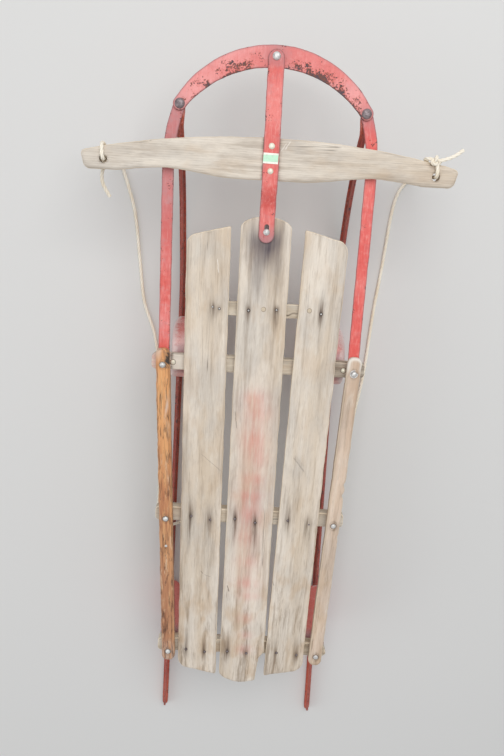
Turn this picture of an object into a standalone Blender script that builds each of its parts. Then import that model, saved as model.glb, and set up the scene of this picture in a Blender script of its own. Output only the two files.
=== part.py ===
"""Runner sled with a slatted deck, pressed steel knees and a steered bow.

Metres, +Z up, the bow points along +Y. Places along the sled are measured from the
middle crossbar, and the sled frame then puts the origin under the middle of the length.
"""
import math

import bmesh
import bpy
from mathutils import Matrix, Vector

# Fits
GAP = 0.0003                    # between pieces that touch
PIN_FIT = 0.0003                # round a pin in its hole

# Crossbars: name, place along the sled, length past the side rail's centre line
CROSSBARS = (("front", 0.240, 0.0180), ("middle", 0.0, 0.0175), ("rear", -0.230, 0.0183))
CROSSBAR_WIDTH = 0.0225
CROSSBAR_THICKNESS = 0.018
CROSSBAR_TOP = 0.1465           # over the floor
CROSSBAR_CORNER = 0.006
WOOD_EDGE = 0.0012

# Slats
SLAT_THICKNESS = 0.011
SLAT_SPACING = 0.00875          # between the slats, at the middle crossbar
SIDE_SLAT_WIDTH = 0.061
# Worn loose, the left slat lies straighter than the right one
SIDE_SLAT_SPLAY = {"left": math.radians(0.6), "right": math.radians(1.4)}
SIDE_SLAT_FRONT = 0.439
SIDE_SLAT_REAR = -0.275
SIDE_SLAT_SLANT = 0.015         # by which the outer front corner lies further back
SIDE_SLAT_CORNER = 0.012
SIDE_SLAT_REAR_SLANT = 0.0143
SIDE_SLAT_REAR_CORNER = 0.014
SLAT_CORNER = 0.002             # all the others
CENTER_SLAT_WIDTH = 0.0705
CENTER_SLAT_FRONT = 0.4445      # at its corners
CENTER_SLAT_REAR = -0.2755
CENTER_SLAT_CROWN = 0.010       # front end, corner to tip
CENTER_SLAT_POINT = 0.0125      # rear end, corner to tip
CENTER_SLAT_CORNER = 0.009
BREAK_LENGTH = 0.030            # piece broken off the centre slat
BREAK_WIDTH = 0.0125

# Nose batten under the slats
BATTEN_PLACE = 0.323
BATTEN_WIDTH = 0.020
BATTEN_THICKNESS = 0.008
BATTEN_REACH = 0.0235           # past the side slats' centre lines
BATTEN_CORNER = 0.003

# Side rails
RAIL_SPACING = 0.01235          # to the side slat, at the middle crossbar
RAIL_WIDTH = 0.0203
RAIL_THICKNESS = 0.0185
RAIL_SPLAY = math.radians(2.4)
RAIL_FRONT = 0.263
RAIL_REAR = -0.247
RAIL_EDGE = 0.0025
RAIL_END = 0.0086               # radius of the rounded ends
RAIL_NOTCH = 0.011              # length of the notch behind the side arm

# Steel strips
STRIP_THICKNESS = 0.003
ARM_WIDTH = 0.016
ARM_BEND_LENGTH = 0.075         # last stretch of the arm, which turns in
ARM_RISE = 0.005
ARM_RISE_AHEAD = 0.037          # from the rail's end to where the arm starts to rise
ARM_RISE_LENGTH = 0.160
BOW_AHEAD = 0.076               # from the bar's hole line to the bow's rivets
BOW_RIVET_X = 0.124
BOW_RISE = 0.0644               # from the rivets to the bow's centre line on the axis
BOW_WIDTH_MIDDLE = 0.028
BOW_WIDTH_END = 0.018
BOW_STEPS = 20

# Steering lever: strap and wooden bar
PIN_INSET = 0.0105              # from the centre slat's front corners to its pin
STRAP_WIDTH = 0.0215
STRAP_BEHIND_PIN = 0.015
STRAP_PAST_BOLT = 0.0086
STRAP_TO_SLAT = 0.0075          # flat length between the slat's tip and the first ramp
STRAP_TO_BAR = 0.0045           # from the first ramp to the bar
STRAP_FROM_BAR = 0.0075         # from the bar to the second ramp
STRAP_TO_BOW = 0.0154           # from the second ramp to the bow
SLOT_LENGTH = 0.014
BOLT_FIT = 0.0015               # loose fit of the strap on the bow bolt
BOW_RIVET_FIT = 0.0006          # loose fit of the bow on its two rivets
BAR_AHEAD = 0.085               # from the pin to the line of the rope holes
BAR_THICKNESS = 0.016
BAR_HALF_LENGTH = 0.2536
BAR_HOLE_INSET = 0.0316
BAR_HOLE_RADIUS = 0.0055
BAR_FRONT_MIDDLE = 0.0385       # edges, forward of the hole line
BAR_FRONT_END = 0.0114
BAR_REAR_MIDDLE = -0.0165
BAR_REAR_WAIST = -0.0070
BAR_REAR_END = -0.0135
BAR_WAIST_X = 0.145
BAR_BELLY_X = 0.045
BAR_END_CORNER = 0.007
BAR_END_SLANT = 0.006           # by which the rear corner lies further in
BAR_EDGE = 0.003
BAR_STEPS = 10

# Pins and rivets
PIN_RADIUS = 0.003
RIVET_RADIUS = 0.0025
PIN_HEAD_RADIUS = 0.0047
BOLT_HEAD_RADIUS = 0.0054
BOW_RIVET_HEAD_RADIUS = 0.0066
RAIL_RIVET_HEAD_RADIUS = 0.0054
HEAD_HEIGHT = 0.0032
TAIL_RADIUS = 0.0045
TAIL_HEIGHT = 0.0016
TURN_STEPS = 16

# Runners, an upside down T
RUNNER_INSET = 0.0002           # from the side rail's centre line at the middle crossbar
RUNNER_SPLAY = math.radians(0.7)    # the runners lie further apart to the rear
RUNNER_TAIL = -0.455
RUNNER_HALF_FLANGE = 0.005
RUNNER_FLANGE = 0.003
RUNNER_HALF_WEB = 0.0015
RUNNER_HEIGHT = 0.019
LIFT_AHEAD = 0.0005             # from the front knee's foot to where the curl leaves the floor
SPLIT_AHEAD = 0.010             # from there to where rear and front stretch meet
SPLIT_CLEARANCE = 0.0025
CURL_TURN_IN = 0.130            # length in which the curl moves inboard
CURL_TOP_RADIUS = 0.020
TAB_HALF_WIDTH = 0.007
TAB_LENGTH = 0.010              # from the end of the curl to the rivet
CURL_STEPS = 12

# Knees, pressed from sheet as a channel that opens inboard
KNEE_SHEET = 0.0016
KNEE_HALF_FOOT = 0.0445
KNEE_WIDTH = 0.032
KNEE_BULGE = 0.003
KNEE_CORNER = 0.004
KNEE_TONGUE = 0.55              # share of the height where the flanges start to narrow
KNEE_SHOULDER = 2.0             # power of the rounded outline from the crossbar to the foot
KNEE_OVER_FLANGE = 0.002        # from the runner's flange to the foot's lower edge

# Rope
ROPE_RADIUS = 0.0025
ROPE_LIFT = 0.0028              # its centre line over the floor
ROPE_SPLIT = 0.022              # height where the hanging stretch ends
ROPE_STEPS = 2                  # stretches of tube between two points of the route
KNOT_RADIUS = 0.008
KNOT_HEIGHT = 0.009
# Route on the floor: across, along; the left drop, along the left side, under the
# deck below the middle crossbar, and back along the right side
ROPE_ROUTE = (
    (-0.2225, 0.5175, 0.0120), (-0.2215, 0.5105, 0.0058), (-0.2180, 0.4980, ROPE_LIFT),
    (-0.2123, 0.4810, ROPE_LIFT), (-0.2010, 0.4390, ROPE_LIFT), (-0.1925, 0.3670, ROPE_LIFT),
    (-0.1846, 0.3020, ROPE_LIFT), (-0.1657, 0.2430, ROPE_LIFT), (-0.1560, 0.1600, ROPE_LIFT),
    (-0.1540, 0.0700, ROPE_LIFT), (-0.1545, -0.0100, ROPE_LIFT), (-0.1590, -0.0450, ROPE_LIFT),
    (-0.1620, -0.0650, ROPE_LIFT), (-0.1550, -0.0780, 0.0050), (-0.1420, -0.0800, 0.0140),
    (-0.1280, -0.0790, 0.0224), (-0.1140, -0.0780, 0.0140), (-0.1000, -0.0770, 0.0050),
    (-0.0850, -0.0755, ROPE_LIFT), (-0.0300, -0.0760, ROPE_LIFT), (0.0300, -0.0680, ROPE_LIFT),
    (0.0850, -0.0680, ROPE_LIFT), (0.1000, -0.0670, 0.0050), (0.1140, -0.0660, 0.0140),
    (0.1280, -0.0655, 0.0224), (0.1420, -0.0650, 0.0140), (0.1550, -0.0620, 0.0050),
    (0.1620, -0.0490, ROPE_LIFT), (0.1610, -0.0250, ROPE_LIFT), (0.1600, 0.0500, ROPE_LIFT),
    (0.1700, 0.1250, ROPE_LIFT), (0.1800, 0.2000, ROPE_LIFT), (0.1860, 0.3000, ROPE_LIFT),
    (0.1935, 0.3800, ROPE_LIFT), (0.1995, 0.4560, ROPE_LIFT), (0.2060, 0.4900, ROPE_LIFT),
    (0.2150, 0.5060, ROPE_LIFT), (0.2205, 0.5130, 0.0058), (0.2220, 0.5180, 0.0120),
)

# Places across the sled that follow from the sizes above, at the middle crossbar
SIDE_SLAT_OFFSET = CENTER_SLAT_WIDTH / 2 + SLAT_SPACING + SIDE_SLAT_WIDTH / 2
RAIL_OFFSET = SIDE_SLAT_OFFSET + SIDE_SLAT_WIDTH / 2 + RAIL_SPACING + RAIL_WIDTH / 2
RUNNER_X = RAIL_OFFSET - RUNNER_INSET
BAR_HOLE_X = BAR_HALF_LENGTH - BAR_HOLE_INSET

# Places along the sled
CROSSBAR_Y = {name: place for name, place, overhang in CROSSBARS}
PIN_Y = CENTER_SLAT_FRONT - PIN_INSET
BAR_Y = PIN_Y + BAR_AHEAD
BOW_RIVET_Y = BAR_Y + BOW_AHEAD
BOW_CROWN = BOW_RIVET_Y + BOW_RISE
BOW_TIP = BOW_CROWN + BOW_WIDTH_MIDDLE / 2
STRAP_REAR = PIN_Y - STRAP_BEHIND_PIN
STRAP_FRONT = BOW_CROWN + STRAP_PAST_BOLT
STRAP_REAR_RAMP = (CENTER_SLAT_FRONT + CENTER_SLAT_CROWN + STRAP_TO_SLAT,
                   BAR_Y + BAR_REAR_MIDDLE - STRAP_TO_BAR)
STRAP_FRONT_RAMP = (BAR_Y + BAR_FRONT_MIDDLE + STRAP_FROM_BAR,
                    BOW_CROWN - BOW_WIDTH_MIDDLE / 2 - STRAP_TO_BOW)
ARM_BEND = BOW_RIVET_Y - ARM_BEND_LENGTH
ARM_RISE_FROM = RAIL_FRONT + ARM_RISE_AHEAD
ARM_RISE_TO = ARM_RISE_FROM + ARM_RISE_LENGTH
RUNNER_LIFT = CROSSBAR_Y["front"] + KNEE_HALF_FOOT + LIFT_AHEAD
RUNNER_SPLIT = RUNNER_LIFT + SPLIT_AHEAD
SLED_MIDDLE = (BOW_TIP + RUNNER_TAIL) / 2

# Levels
SLAT_BOTTOM = CROSSBAR_TOP + GAP
SLAT_TOP = SLAT_BOTTOM + SLAT_THICKNESS
ARM_BOTTOM = CROSSBAR_TOP + GAP
ARM_TOP = ARM_BOTTOM + STRIP_THICKNESS
BOW_BOTTOM = ARM_TOP + ARM_RISE + GAP
BOW_TOP = BOW_BOTTOM + STRIP_THICKNESS
BAR_BOTTOM = ARM_TOP + ARM_RISE + GAP
BAR_TOP = BAR_BOTTOM + BAR_THICKNESS
RAIL_BOTTOM = CROSSBAR_TOP + GAP
RAIL_TOP = RAIL_BOTTOM + RAIL_THICKNESS
TAB_BOTTOM = ARM_BOTTOM + ARM_RISE - GAP - RUNNER_FLANGE
KNEE_TOP = CROSSBAR_TOP - CROSSBAR_THICKNESS - GAP


def clear_scene():
    for item in list(bpy.data.objects):
        bpy.data.objects.remove(item)


def make_collection(name):
    group = bpy.data.collections.new(name)
    bpy.context.scene.collection.children.link(group)
    return group


def finish(name, colour, roughness, metallic=0.0):
    surface = bpy.data.materials.new(name)
    surface.use_nodes = True
    shader = surface.node_tree.nodes["Principled BSDF"]
    shader.inputs["Base Color"].default_value = (*colour, 1.0)
    shader.inputs["Roughness"].default_value = roughness
    shader.inputs["Metallic"].default_value = metallic
    return surface


clear_scene()
PIECES = make_collection("runner_sled")
CUTTERS = make_collection("cutters")
WEATHERED_WOOD = finish("weathered_wood", (0.56, 0.49, 0.40), 0.75)
VARNISHED_WOOD = finish("varnished_wood", (0.48, 0.25, 0.11), 0.5)
RED_STEEL = finish("red_steel", (0.50, 0.05, 0.05), 0.45, 0.2)
DARK_STEEL = finish("dark_steel", (0.10, 0.07, 0.06), 0.6, 0.6)
BRIGHT_STEEL = finish("bright_steel", (0.62, 0.60, 0.56), 0.4, 0.9)
ROPE_FIBRE = finish("rope_fibre", (0.72, 0.66, 0.54), 0.9)


def empty(name, place, parent=None):
    point = bpy.data.objects.new(name, None)
    point.location = place
    point.parent = parent
    PIECES.objects.link(point)
    return point


SLED = empty("sled_frame", (0, -SLED_MIDDLE, 0))
LEVER = empty("steering_pivot", (0, PIN_Y, 0), SLED)
BOW_PIVOT = empty("bow_pivot", (-BOW_RIVET_X, BOW_RIVET_Y, 0), SLED)


def splay_x(offset, splay, y):
    """Distance from the axis, at y, of a line that leaves the middle crossbar at offset."""
    return offset + math.tan(splay) * y


ARM_X = splay_x(RAIL_OFFSET, RAIL_SPLAY, CROSSBAR_Y["front"])
ARM_PIVOTS = {side: empty("arm_pivot_" + name, (side * ARM_X, CROSSBAR_Y["front"], 0), SLED)
              for side, name in ((-1, "left"), (1, "right"))}
SIDES = ((-1, "left"), (1, "right"))


def add(name, data, surface, pivot=SLED):
    """Link a shape that is drawn in sled places, with its origin on the pivot that carries it."""
    if pivot is not SLED:
        data.transform(Matrix.Translation(-Vector(pivot.location)))
    data.materials.clear()
    data.materials.append(surface)
    piece = bpy.data.objects.new(name, data)
    piece.parent = pivot
    PIECES.objects.link(piece)
    return piece


def ease(share):
    share = min(1.0, max(0.0, share))
    return share * share * (3 - 2 * share)


def rounded(corners, steps=4):
    """Outline through corners (x, y, radius), with each radius drawn as an arc."""
    points = []
    count = len(corners)
    for i, (x, y, radius) in enumerate(corners):
        corner = Vector((x, y))
        if radius == 0:
            points.append(corner)
            continue
        before = (Vector(corners[i - 1][:2]) - corner).normalized()
        after = (Vector(corners[(i + 1) % count][:2]) - corner).normalized()
        half = before.angle(after) / 2
        centre = corner + (before + after).normalized() * radius / math.sin(half)
        start = corner + before * radius / math.tan(half) - centre
        turn = start.angle_signed(corner + after * radius / math.tan(half) - centre)
        for step in range(steps + 1):
            points.append(centre + Matrix.Rotation(-turn * step / steps, 2) @ start)
    return points


def board(name, outline, bottom, thickness, edge, surface, pivot=SLED):
    """Flat piece cut to an outline, with its upper and lower edges broken."""
    curve = bpy.data.curves.new(name, "CURVE")
    curve.dimensions = "2D"
    curve.fill_mode = "BOTH"
    curve.extrude = thickness / 2 - edge
    curve.bevel_depth = edge
    curve.bevel_resolution = 0
    curve.offset = -edge
    line = curve.splines.new("POLY")
    line.use_cyclic_u = True
    line.points.add(len(outline) - 1)
    for point, (x, y) in zip(line.points, outline):
        point.co = (x, y, 0, 1)
    holder = bpy.data.objects.new(name, curve)
    PIECES.objects.link(holder)
    view = bpy.context.evaluated_depsgraph_get()
    mesh = bpy.data.meshes.new_from_object(holder.evaluated_get(view))
    bpy.data.objects.remove(holder)
    shape = bmesh.new()
    shape.from_mesh(mesh)
    bmesh.ops.remove_doubles(shape, verts=shape.verts, dist=1e-5)
    bmesh.ops.recalc_face_normals(shape, faces=shape.faces)
    shape.to_mesh(mesh)
    shape.free()
    mesh.transform(Matrix.Translation((0, 0, bottom + thickness / 2)))
    return add(name, mesh, surface, pivot)


def ribbon(name, path, half_widths, surface, pivot=SLED, cap_steps=4):
    """Steel strip along the points of its underside's centre line, with round ends."""
    rows = []

    def row(point, heading, half):
        across = Vector((heading.y, -heading.x, 0)).normalized()
        rows.append((point - across * half, point + across * half))

    first = (path[1] - path[0]).normalized()
    last = (path[-1] - path[-2]).normalized()
    turns = [math.pi / 2 * step / cap_steps for step in range(cap_steps)]
    for turn in reversed(turns[1:]):
        row(path[0] - first * half_widths[0] * math.sin(turn), first, half_widths[0] * math.cos(turn))
    for i, (point, half) in enumerate(zip(path, half_widths)):
        before, after = path[max(i - 1, 0)], path[min(i + 1, len(path) - 1)]
        row(point, after - before, half)
    for turn in turns[1:]:
        row(path[-1] + last * half_widths[-1] * math.sin(turn), last, half_widths[-1] * math.cos(turn))
    shape = bmesh.new()
    lines = [[shape.verts.new(corner) for corner in pair] for pair in rows]
    for (left, right), (next_left, next_right) in zip(lines, lines[1:]):
        shape.faces.new((left, right, next_right, next_left))
    tips = ((path[0] - first * half_widths[0], lines[0][::-1]), (path[-1] + last * half_widths[-1], lines[-1]))
    for tip, pair in tips:
        shape.faces.new((*pair, shape.verts.new(tip)))
    mesh = bpy.data.meshes.new(name)
    shape.to_mesh(mesh)
    shape.free()
    strip = add(name, mesh, surface, pivot)
    wall = strip.modifiers.new("thickness", "SOLIDIFY")
    wall.thickness = STRIP_THICKNESS
    wall.offset = 1.0
    return strip


def loft(name, sections, surface, pivot=SLED):
    """Solid through closed sections that all have the same number of points."""
    shape = bmesh.new()
    rings = [[shape.verts.new(point) for point in section] for section in sections]
    count = len(rings[0])
    for ring, following in zip(rings, rings[1:]):
        for i in range(count):
            j = (i + 1) % count
            shape.faces.new((ring[i], ring[j], following[j], following[i]))
    shape.faces.new(rings[0][::-1])
    shape.faces.new(rings[-1])
    bmesh.ops.recalc_face_normals(shape, faces=shape.faces)
    mesh = bpy.data.meshes.new(name)
    shape.to_mesh(mesh)
    shape.free()
    return add(name, mesh, surface, pivot)


def turned(name, profile, place, surface, pivot=SLED):
    """Round piece from a profile (radius, height) that runs down its outer side."""
    mesh = bpy.data.meshes.new(name)
    shape = bmesh.new()
    points = [shape.verts.new((radius, 0, height)) for radius, height in profile]
    for upper, lower in zip(points, points[1:]):
        shape.edges.new((upper, lower))
    shape.to_mesh(mesh)
    shape.free()
    mesh.materials.append(surface)
    piece = bpy.data.objects.new(name, mesh)
    piece.parent = pivot
    origin = Vector((0, 0, 0)) if pivot is SLED else Vector(pivot.location)
    piece.location = Vector((*place, 0)) - origin
    PIECES.objects.link(piece)
    turn = piece.modifiers.new("turn", "SCREW")
    turn.steps = turn.render_steps = TURN_STEPS
    turn.use_merge_vertices = True
    turn.merge_threshold = 1e-5
    return piece


def rivet(name, place, head_seat, tail_seat, radius, head_radius, surface, pivot=SLED):
    """Round headed rivet: the head sits on head_seat, the tail is spread under tail_seat."""
    dome = [(head_radius * math.sin(math.pi / 2 * step / 3),
             head_seat + HEAD_HEIGHT * math.cos(math.pi / 2 * step / 3)) for step in range(4)]
    shank = [(radius, head_seat), (radius, tail_seat)]
    tail = [(TAIL_RADIUS, tail_seat), (TAIL_RADIUS, tail_seat - TAIL_HEIGHT), (0, tail_seat - TAIL_HEIGHT)]
    return turned(name, dome + shank + tail, place, surface, pivot)


def cutter(name):
    shape = bpy.context.object
    shape.name = name
    for group in list(shape.users_collection):
        group.objects.unlink(shape)
    CUTTERS.objects.link(shape)
    shape.parent = SLED
    shape.hide_render = True
    shape.display_type = "WIRE"
    return shape


def drill(name, x, y, radius):
    """Cutter for one hole that runs down through all that it is used on."""
    bpy.ops.mesh.primitive_cylinder_add(vertices=24, radius=radius, depth=2 * CROSSBAR_TOP,
                                        location=(x, y, CROSSBAR_TOP))
    return cutter(name)


def cut(piece, tool):
    bite = piece.modifiers.new(tool.name, "BOOLEAN")
    bite.operation = "DIFFERENCE"
    bite.object = tool
    bite.solver = "EXACT"


def make_crossbars():
    bars = {}
    for name, place, overhang in CROSSBARS:
        half = splay_x(RAIL_OFFSET, RAIL_SPLAY, place) + overhang
        near, far = place - CROSSBAR_WIDTH / 2, place + CROSSBAR_WIDTH / 2
        outline = rounded([(-half, near, CROSSBAR_CORNER), (half, near, CROSSBAR_CORNER),
                           (half, far, CROSSBAR_CORNER), (-half, far, CROSSBAR_CORNER)])
        bars[name] = board("crossbar_" + name, outline, CROSSBAR_TOP - CROSSBAR_THICKNESS,
                           CROSSBAR_THICKNESS, WOOD_EDGE, WEATHERED_WOOD)
    return bars


def make_slats():
    half = SIDE_SLAT_WIDTH / 2
    for side, name in SIDES:
        inner, outer = -side * half, side * half
        outline = rounded([
            (inner, SIDE_SLAT_REAR, SLAT_CORNER),
            (outer, SIDE_SLAT_REAR + SIDE_SLAT_REAR_SLANT, SIDE_SLAT_REAR_CORNER),
            (outer, SIDE_SLAT_FRONT - SIDE_SLAT_SLANT, SIDE_SLAT_CORNER),
            (inner, SIDE_SLAT_FRONT, SLAT_CORNER)])
        slat = board("slat_" + name, outline, SLAT_BOTTOM, SLAT_THICKNESS, WOOD_EDGE, WEATHERED_WOOD)
        slat.location.x = side * SIDE_SLAT_OFFSET
        slat.rotation_euler.z = -side * SIDE_SLAT_SPLAY[name]
    half = CENTER_SLAT_WIDTH / 2
    broken = half - BREAK_WIDTH
    crown = [(half * share, CENTER_SLAT_FRONT + CENTER_SLAT_CROWN * (1 - share * share), 0)
             for share in (0.65, 0.4, 0.2, 0.0, -0.2, -0.4, -0.65)]
    tail = [(broken * share, CENTER_SLAT_REAR - CENTER_SLAT_POINT * (1 - (broken * share / half) ** 2), 0)
            for share in (-1.0, -0.65, -0.3, 0.0, 0.3, 0.65, 1.0)]
    outline = rounded([
        (-half, CENTER_SLAT_REAR, CENTER_SLAT_CORNER), *tail,
        (broken + BREAK_WIDTH / 3, CENTER_SLAT_REAR + BREAK_LENGTH * 0.9, 0),
        (half, CENTER_SLAT_REAR + BREAK_LENGTH * 1.15, 0),
        (half, CENTER_SLAT_FRONT, CENTER_SLAT_CORNER), *crown, (-half, CENTER_SLAT_FRONT, CENTER_SLAT_CORNER)])
    return board("slat_center", outline, SLAT_BOTTOM, SLAT_THICKNESS, WOOD_EDGE, WEATHERED_WOOD)


def make_batten():
    near, far = BATTEN_PLACE - BATTEN_WIDTH / 2, BATTEN_PLACE + BATTEN_WIDTH / 2
    half = SIDE_SLAT_OFFSET + BATTEN_REACH
    corners = ((-half, near), (half, near), (half, far), (-half, far))
    outline = rounded([(*corner, BATTEN_CORNER) for corner in corners])
    board("nose_batten", outline, SLAT_BOTTOM - GAP - BATTEN_THICKNESS, BATTEN_THICKNESS, WOOD_EDGE,
          WEATHERED_WOOD)


def make_rails():
    rails = {}
    half = RAIL_WIDTH / 2
    stretch = 1 / math.cos(RAIL_SPLAY)
    front, rear = RAIL_FRONT * stretch, RAIL_REAR * stretch
    corners = ((-half, rear), (half, rear), (half, front), (-half, front))
    outline = rounded([(*corner, RAIL_END) for corner in corners])
    notch_rear = CROSSBAR_Y["front"] - ARM_WIDTH / 2 - RAIL_NOTCH
    bpy.ops.mesh.primitive_cube_add(size=1)
    notch = cutter("arm_notch")
    notch.scale = (4 * RAIL_OFFSET, 2 * (RAIL_FRONT - notch_rear), 2 * (ARM_TOP + GAP - RAIL_BOTTOM))
    notch.location = (0, RAIL_FRONT, RAIL_BOTTOM)
    for side, name in SIDES:
        surface = VARNISHED_WOOD if side < 0 else WEATHERED_WOOD
        rail = board("side_rail_" + name, outline, RAIL_BOTTOM, RAIL_THICKNESS, RAIL_EDGE, surface)
        rail.location.x = side * RAIL_OFFSET
        rail.rotation_euler.z = -side * RAIL_SPLAY
        cut(rail, notch)
        rails[side] = rail
    return rails


def arm_x(y):
    turn = max(0.0, (y - ARM_BEND) / (BOW_RIVET_Y - ARM_BEND))
    return ARM_X - (ARM_X - BOW_RIVET_X) * turn ** 2


def arm_rise(y):
    return ARM_RISE * ease((y - ARM_RISE_FROM) / (ARM_RISE_TO - ARM_RISE_FROM))


def make_arms():
    arms = {}
    start = CROSSBAR_Y["front"]
    places = [start]
    places += [ARM_RISE_FROM + (ARM_RISE_TO - ARM_RISE_FROM) * step / 6 for step in range(7)]
    places += [ARM_BEND + (BOW_RIVET_Y - ARM_BEND) * step / 6 for step in range(7)]
    for side, name in SIDES:
        path = [Vector((side * arm_x(y), y, ARM_BOTTOM + arm_rise(y))) for y in places]
        arms[side] = ribbon("side_arm_" + name, path, [ARM_WIDTH / 2] * len(path), RED_STEEL,
                            ARM_PIVOTS[side])
    return arms


def make_bow():
    reach = BOW_CROWN - BOW_RIVET_Y
    radius = (BOW_RIVET_X ** 2 + reach ** 2) / (2 * reach)
    sweep = math.asin(BOW_RIVET_X / radius)
    path, halves = [], []
    for step in range(BOW_STEPS + 1):
        share = 2 * step / BOW_STEPS - 1
        turn = sweep * share
        path.append(Vector((radius * math.sin(turn), BOW_CROWN - radius * (1 - math.cos(turn)), BOW_BOTTOM)))
        swell = math.cos(share * math.pi / 2) ** 0.8
        halves.append((BOW_WIDTH_END + (BOW_WIDTH_MIDDLE - BOW_WIDTH_END) * swell) / 2)
    return ribbon("front_bow", path, halves, RED_STEEL, BOW_PIVOT)


def strap_level(y):
    """Underside of the strap: on the slat, up over the bar, and down on the bow."""
    low, high = SLAT_TOP + GAP, BAR_TOP + GAP
    rear = ease((y - STRAP_REAR_RAMP[0]) / (STRAP_REAR_RAMP[1] - STRAP_REAR_RAMP[0]))
    front = ease((y - STRAP_FRONT_RAMP[0]) / (STRAP_FRONT_RAMP[1] - STRAP_FRONT_RAMP[0]))
    return low + (high - low) * rear + (BOW_TOP + GAP - high) * front


def make_strap():
    half = STRAP_WIDTH / 2
    places = [STRAP_REAR + half]
    for start, end in (STRAP_REAR_RAMP, STRAP_FRONT_RAMP):
        places += [start + (end - start) * step / 6 for step in range(7)]
    places.append(STRAP_FRONT - half)
    path = [Vector((0, y, strap_level(y))) for y in places]
    strap = ribbon("steering_strap", path, [half] * len(path), RED_STEEL, LEVER)
    slot_rear = PIN_Y - PIN_RADIUS - PIN_FIT
    bpy.ops.mesh.primitive_cube_add(size=1, location=(0, slot_rear + SLOT_LENGTH / 2, CROSSBAR_TOP))
    slot = cutter("strap_slot")
    slot.scale = (2 * (PIN_RADIUS + PIN_FIT), SLOT_LENGTH, CROSSBAR_TOP)
    cut(strap, slot)
    return strap


def bar_rear(x):
    """Rear edge of the steering bar: belly, waist and grip."""
    if x < BAR_WAIST_X:
        share = ease((x - BAR_BELLY_X) / (BAR_WAIST_X - BAR_BELLY_X))
        return BAR_REAR_MIDDLE + (BAR_REAR_WAIST - BAR_REAR_MIDDLE) * share
    share = ease((x - BAR_WAIST_X) / (BAR_HOLE_X - BAR_WAIST_X))
    return BAR_REAR_WAIST + (BAR_REAR_END - BAR_REAR_WAIST) * share


def bar_front(x):
    return BAR_FRONT_MIDDLE - (BAR_FRONT_MIDDLE - BAR_FRONT_END) * (x / BAR_HALF_LENGTH) ** 2


def make_bar():
    end = BAR_HALF_LENGTH
    inset = end - BAR_END_CORNER * 1.1
    shares = [step / BAR_STEPS for step in range(BAR_STEPS + 1)]
    rear = [BAR_BELLY_X + (BAR_HOLE_X - BAR_BELLY_X) * share for share in shares]
    right = [(x, bar_rear(x), 0) for x in rear]
    right += [(end - BAR_END_SLANT, bar_rear(end), BAR_END_CORNER), (end, bar_front(end), BAR_END_CORNER)]
    right += [(inset * share, bar_front(inset * share), 0) for share in reversed(shares)]
    left = [(-x, y, radius) for x, y, radius in reversed(right) if x > 0]
    outline = [(x, y + BAR_Y) for x, y in rounded(right + left)]
    bar = board("steering_bar", outline, BAR_BOTTOM, BAR_THICKNESS, BAR_EDGE, WEATHERED_WOOD, LEVER)
    for side, name in SIDES:
        cut(bar, drill("bar_hole_" + name, side * BAR_HOLE_X, BAR_Y, BAR_HOLE_RADIUS))
    return bar


def tee(x, y, z, slope, half_flange, height):
    """Upside down T across a runner whose underside passes (x, y, z) at a slope."""
    web = RUNNER_HALF_WEB
    corners = ((-half_flange, 0), (half_flange, 0), (half_flange, RUNNER_FLANGE), (web, RUNNER_FLANGE),
               (web, height), (-web, height), (-web, RUNNER_FLANGE), (-half_flange, RUNNER_FLANGE))
    return [Vector((x + across, y - up * math.sin(slope), z + up * math.cos(slope))) for across, up in corners]


def curl_line():
    """Turn angle and the two radii of the front curl, from its run and its rise."""
    run = BOW_RIVET_Y - TAB_LENGTH - RUNNER_LIFT
    both = (run ** 2 + TAB_BOTTOM ** 2) / (2 * TAB_BOTTOM)
    return 2 * math.atan2(TAB_BOTTOM, run), both - CURL_TOP_RADIUS


def runner_x(y):
    return splay_x(RUNNER_X, -RUNNER_SPLAY, y)


def curl_x(y):
    return runner_x(y) + (BOW_RIVET_X - runner_x(y)) * ease((y - RUNNER_SPLIT) / CURL_TURN_IN)


def make_runners():
    turn, radius = curl_line()

    def low_arc(angle):
        return RUNNER_LIFT + radius * math.sin(angle), radius * (1 - math.cos(angle))

    split = math.asin((RUNNER_SPLIT - RUNNER_LIFT) / radius)
    clearance = SPLIT_CLEARANCE / 2 / radius
    run = BOW_RIVET_Y - TAB_LENGTH
    for side, name in SIDES:
        y, z = low_arc(split - clearance)
        rear = [tee(side * runner_x(place), place, 0, 0, RUNNER_HALF_FLANGE, RUNNER_HEIGHT)
                for place in (RUNNER_TAIL, RUNNER_LIFT)]
        rear.append(tee(side * runner_x(y), y, z, split - clearance, RUNNER_HALF_FLANGE, RUNNER_HEIGHT))
        loft("runner_" + name, rear, RED_STEEL)
        front = []
        for step in range(CURL_STEPS + 1):
            angle = split + clearance + (turn - split - clearance) * step / CURL_STEPS
            y, z = low_arc(angle)
            fade = ease((CURL_STEPS - step) / 3)
            height = RUNNER_FLANGE + 0.0001 + (RUNNER_HEIGHT - RUNNER_FLANGE) * fade
            front.append(tee(side * curl_x(y), y, z, angle, RUNNER_HALF_FLANGE, height))
        for step in range(1, 4):
            angle = turn * (1 - step / 3)
            y = run - CURL_TOP_RADIUS * math.sin(angle)
            z = TAB_BOTTOM - CURL_TOP_RADIUS * (1 - math.cos(angle))
            half = RUNNER_HALF_FLANGE + (TAB_HALF_WIDTH - RUNNER_HALF_FLANGE) * step / 3
            front.append(tee(side * BOW_RIVET_X, y, z, angle, half, RUNNER_FLANGE + 0.0001))
        for reach, half in ((0.0, 1.0), (0.6, 0.85), (0.95, 0.35)):
            place = BOW_RIVET_Y + TAB_HALF_WIDTH * reach
            front.append(tee(side * BOW_RIVET_X, place, TAB_BOTTOM, 0, max(TAB_HALF_WIDTH * half, 0.0016),
                             RUNNER_FLANGE + 0.0001))
        curl = loft("runner_front_" + name, front, RED_STEEL, ARM_PIVOTS[side])
        yield side, curl


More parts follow.
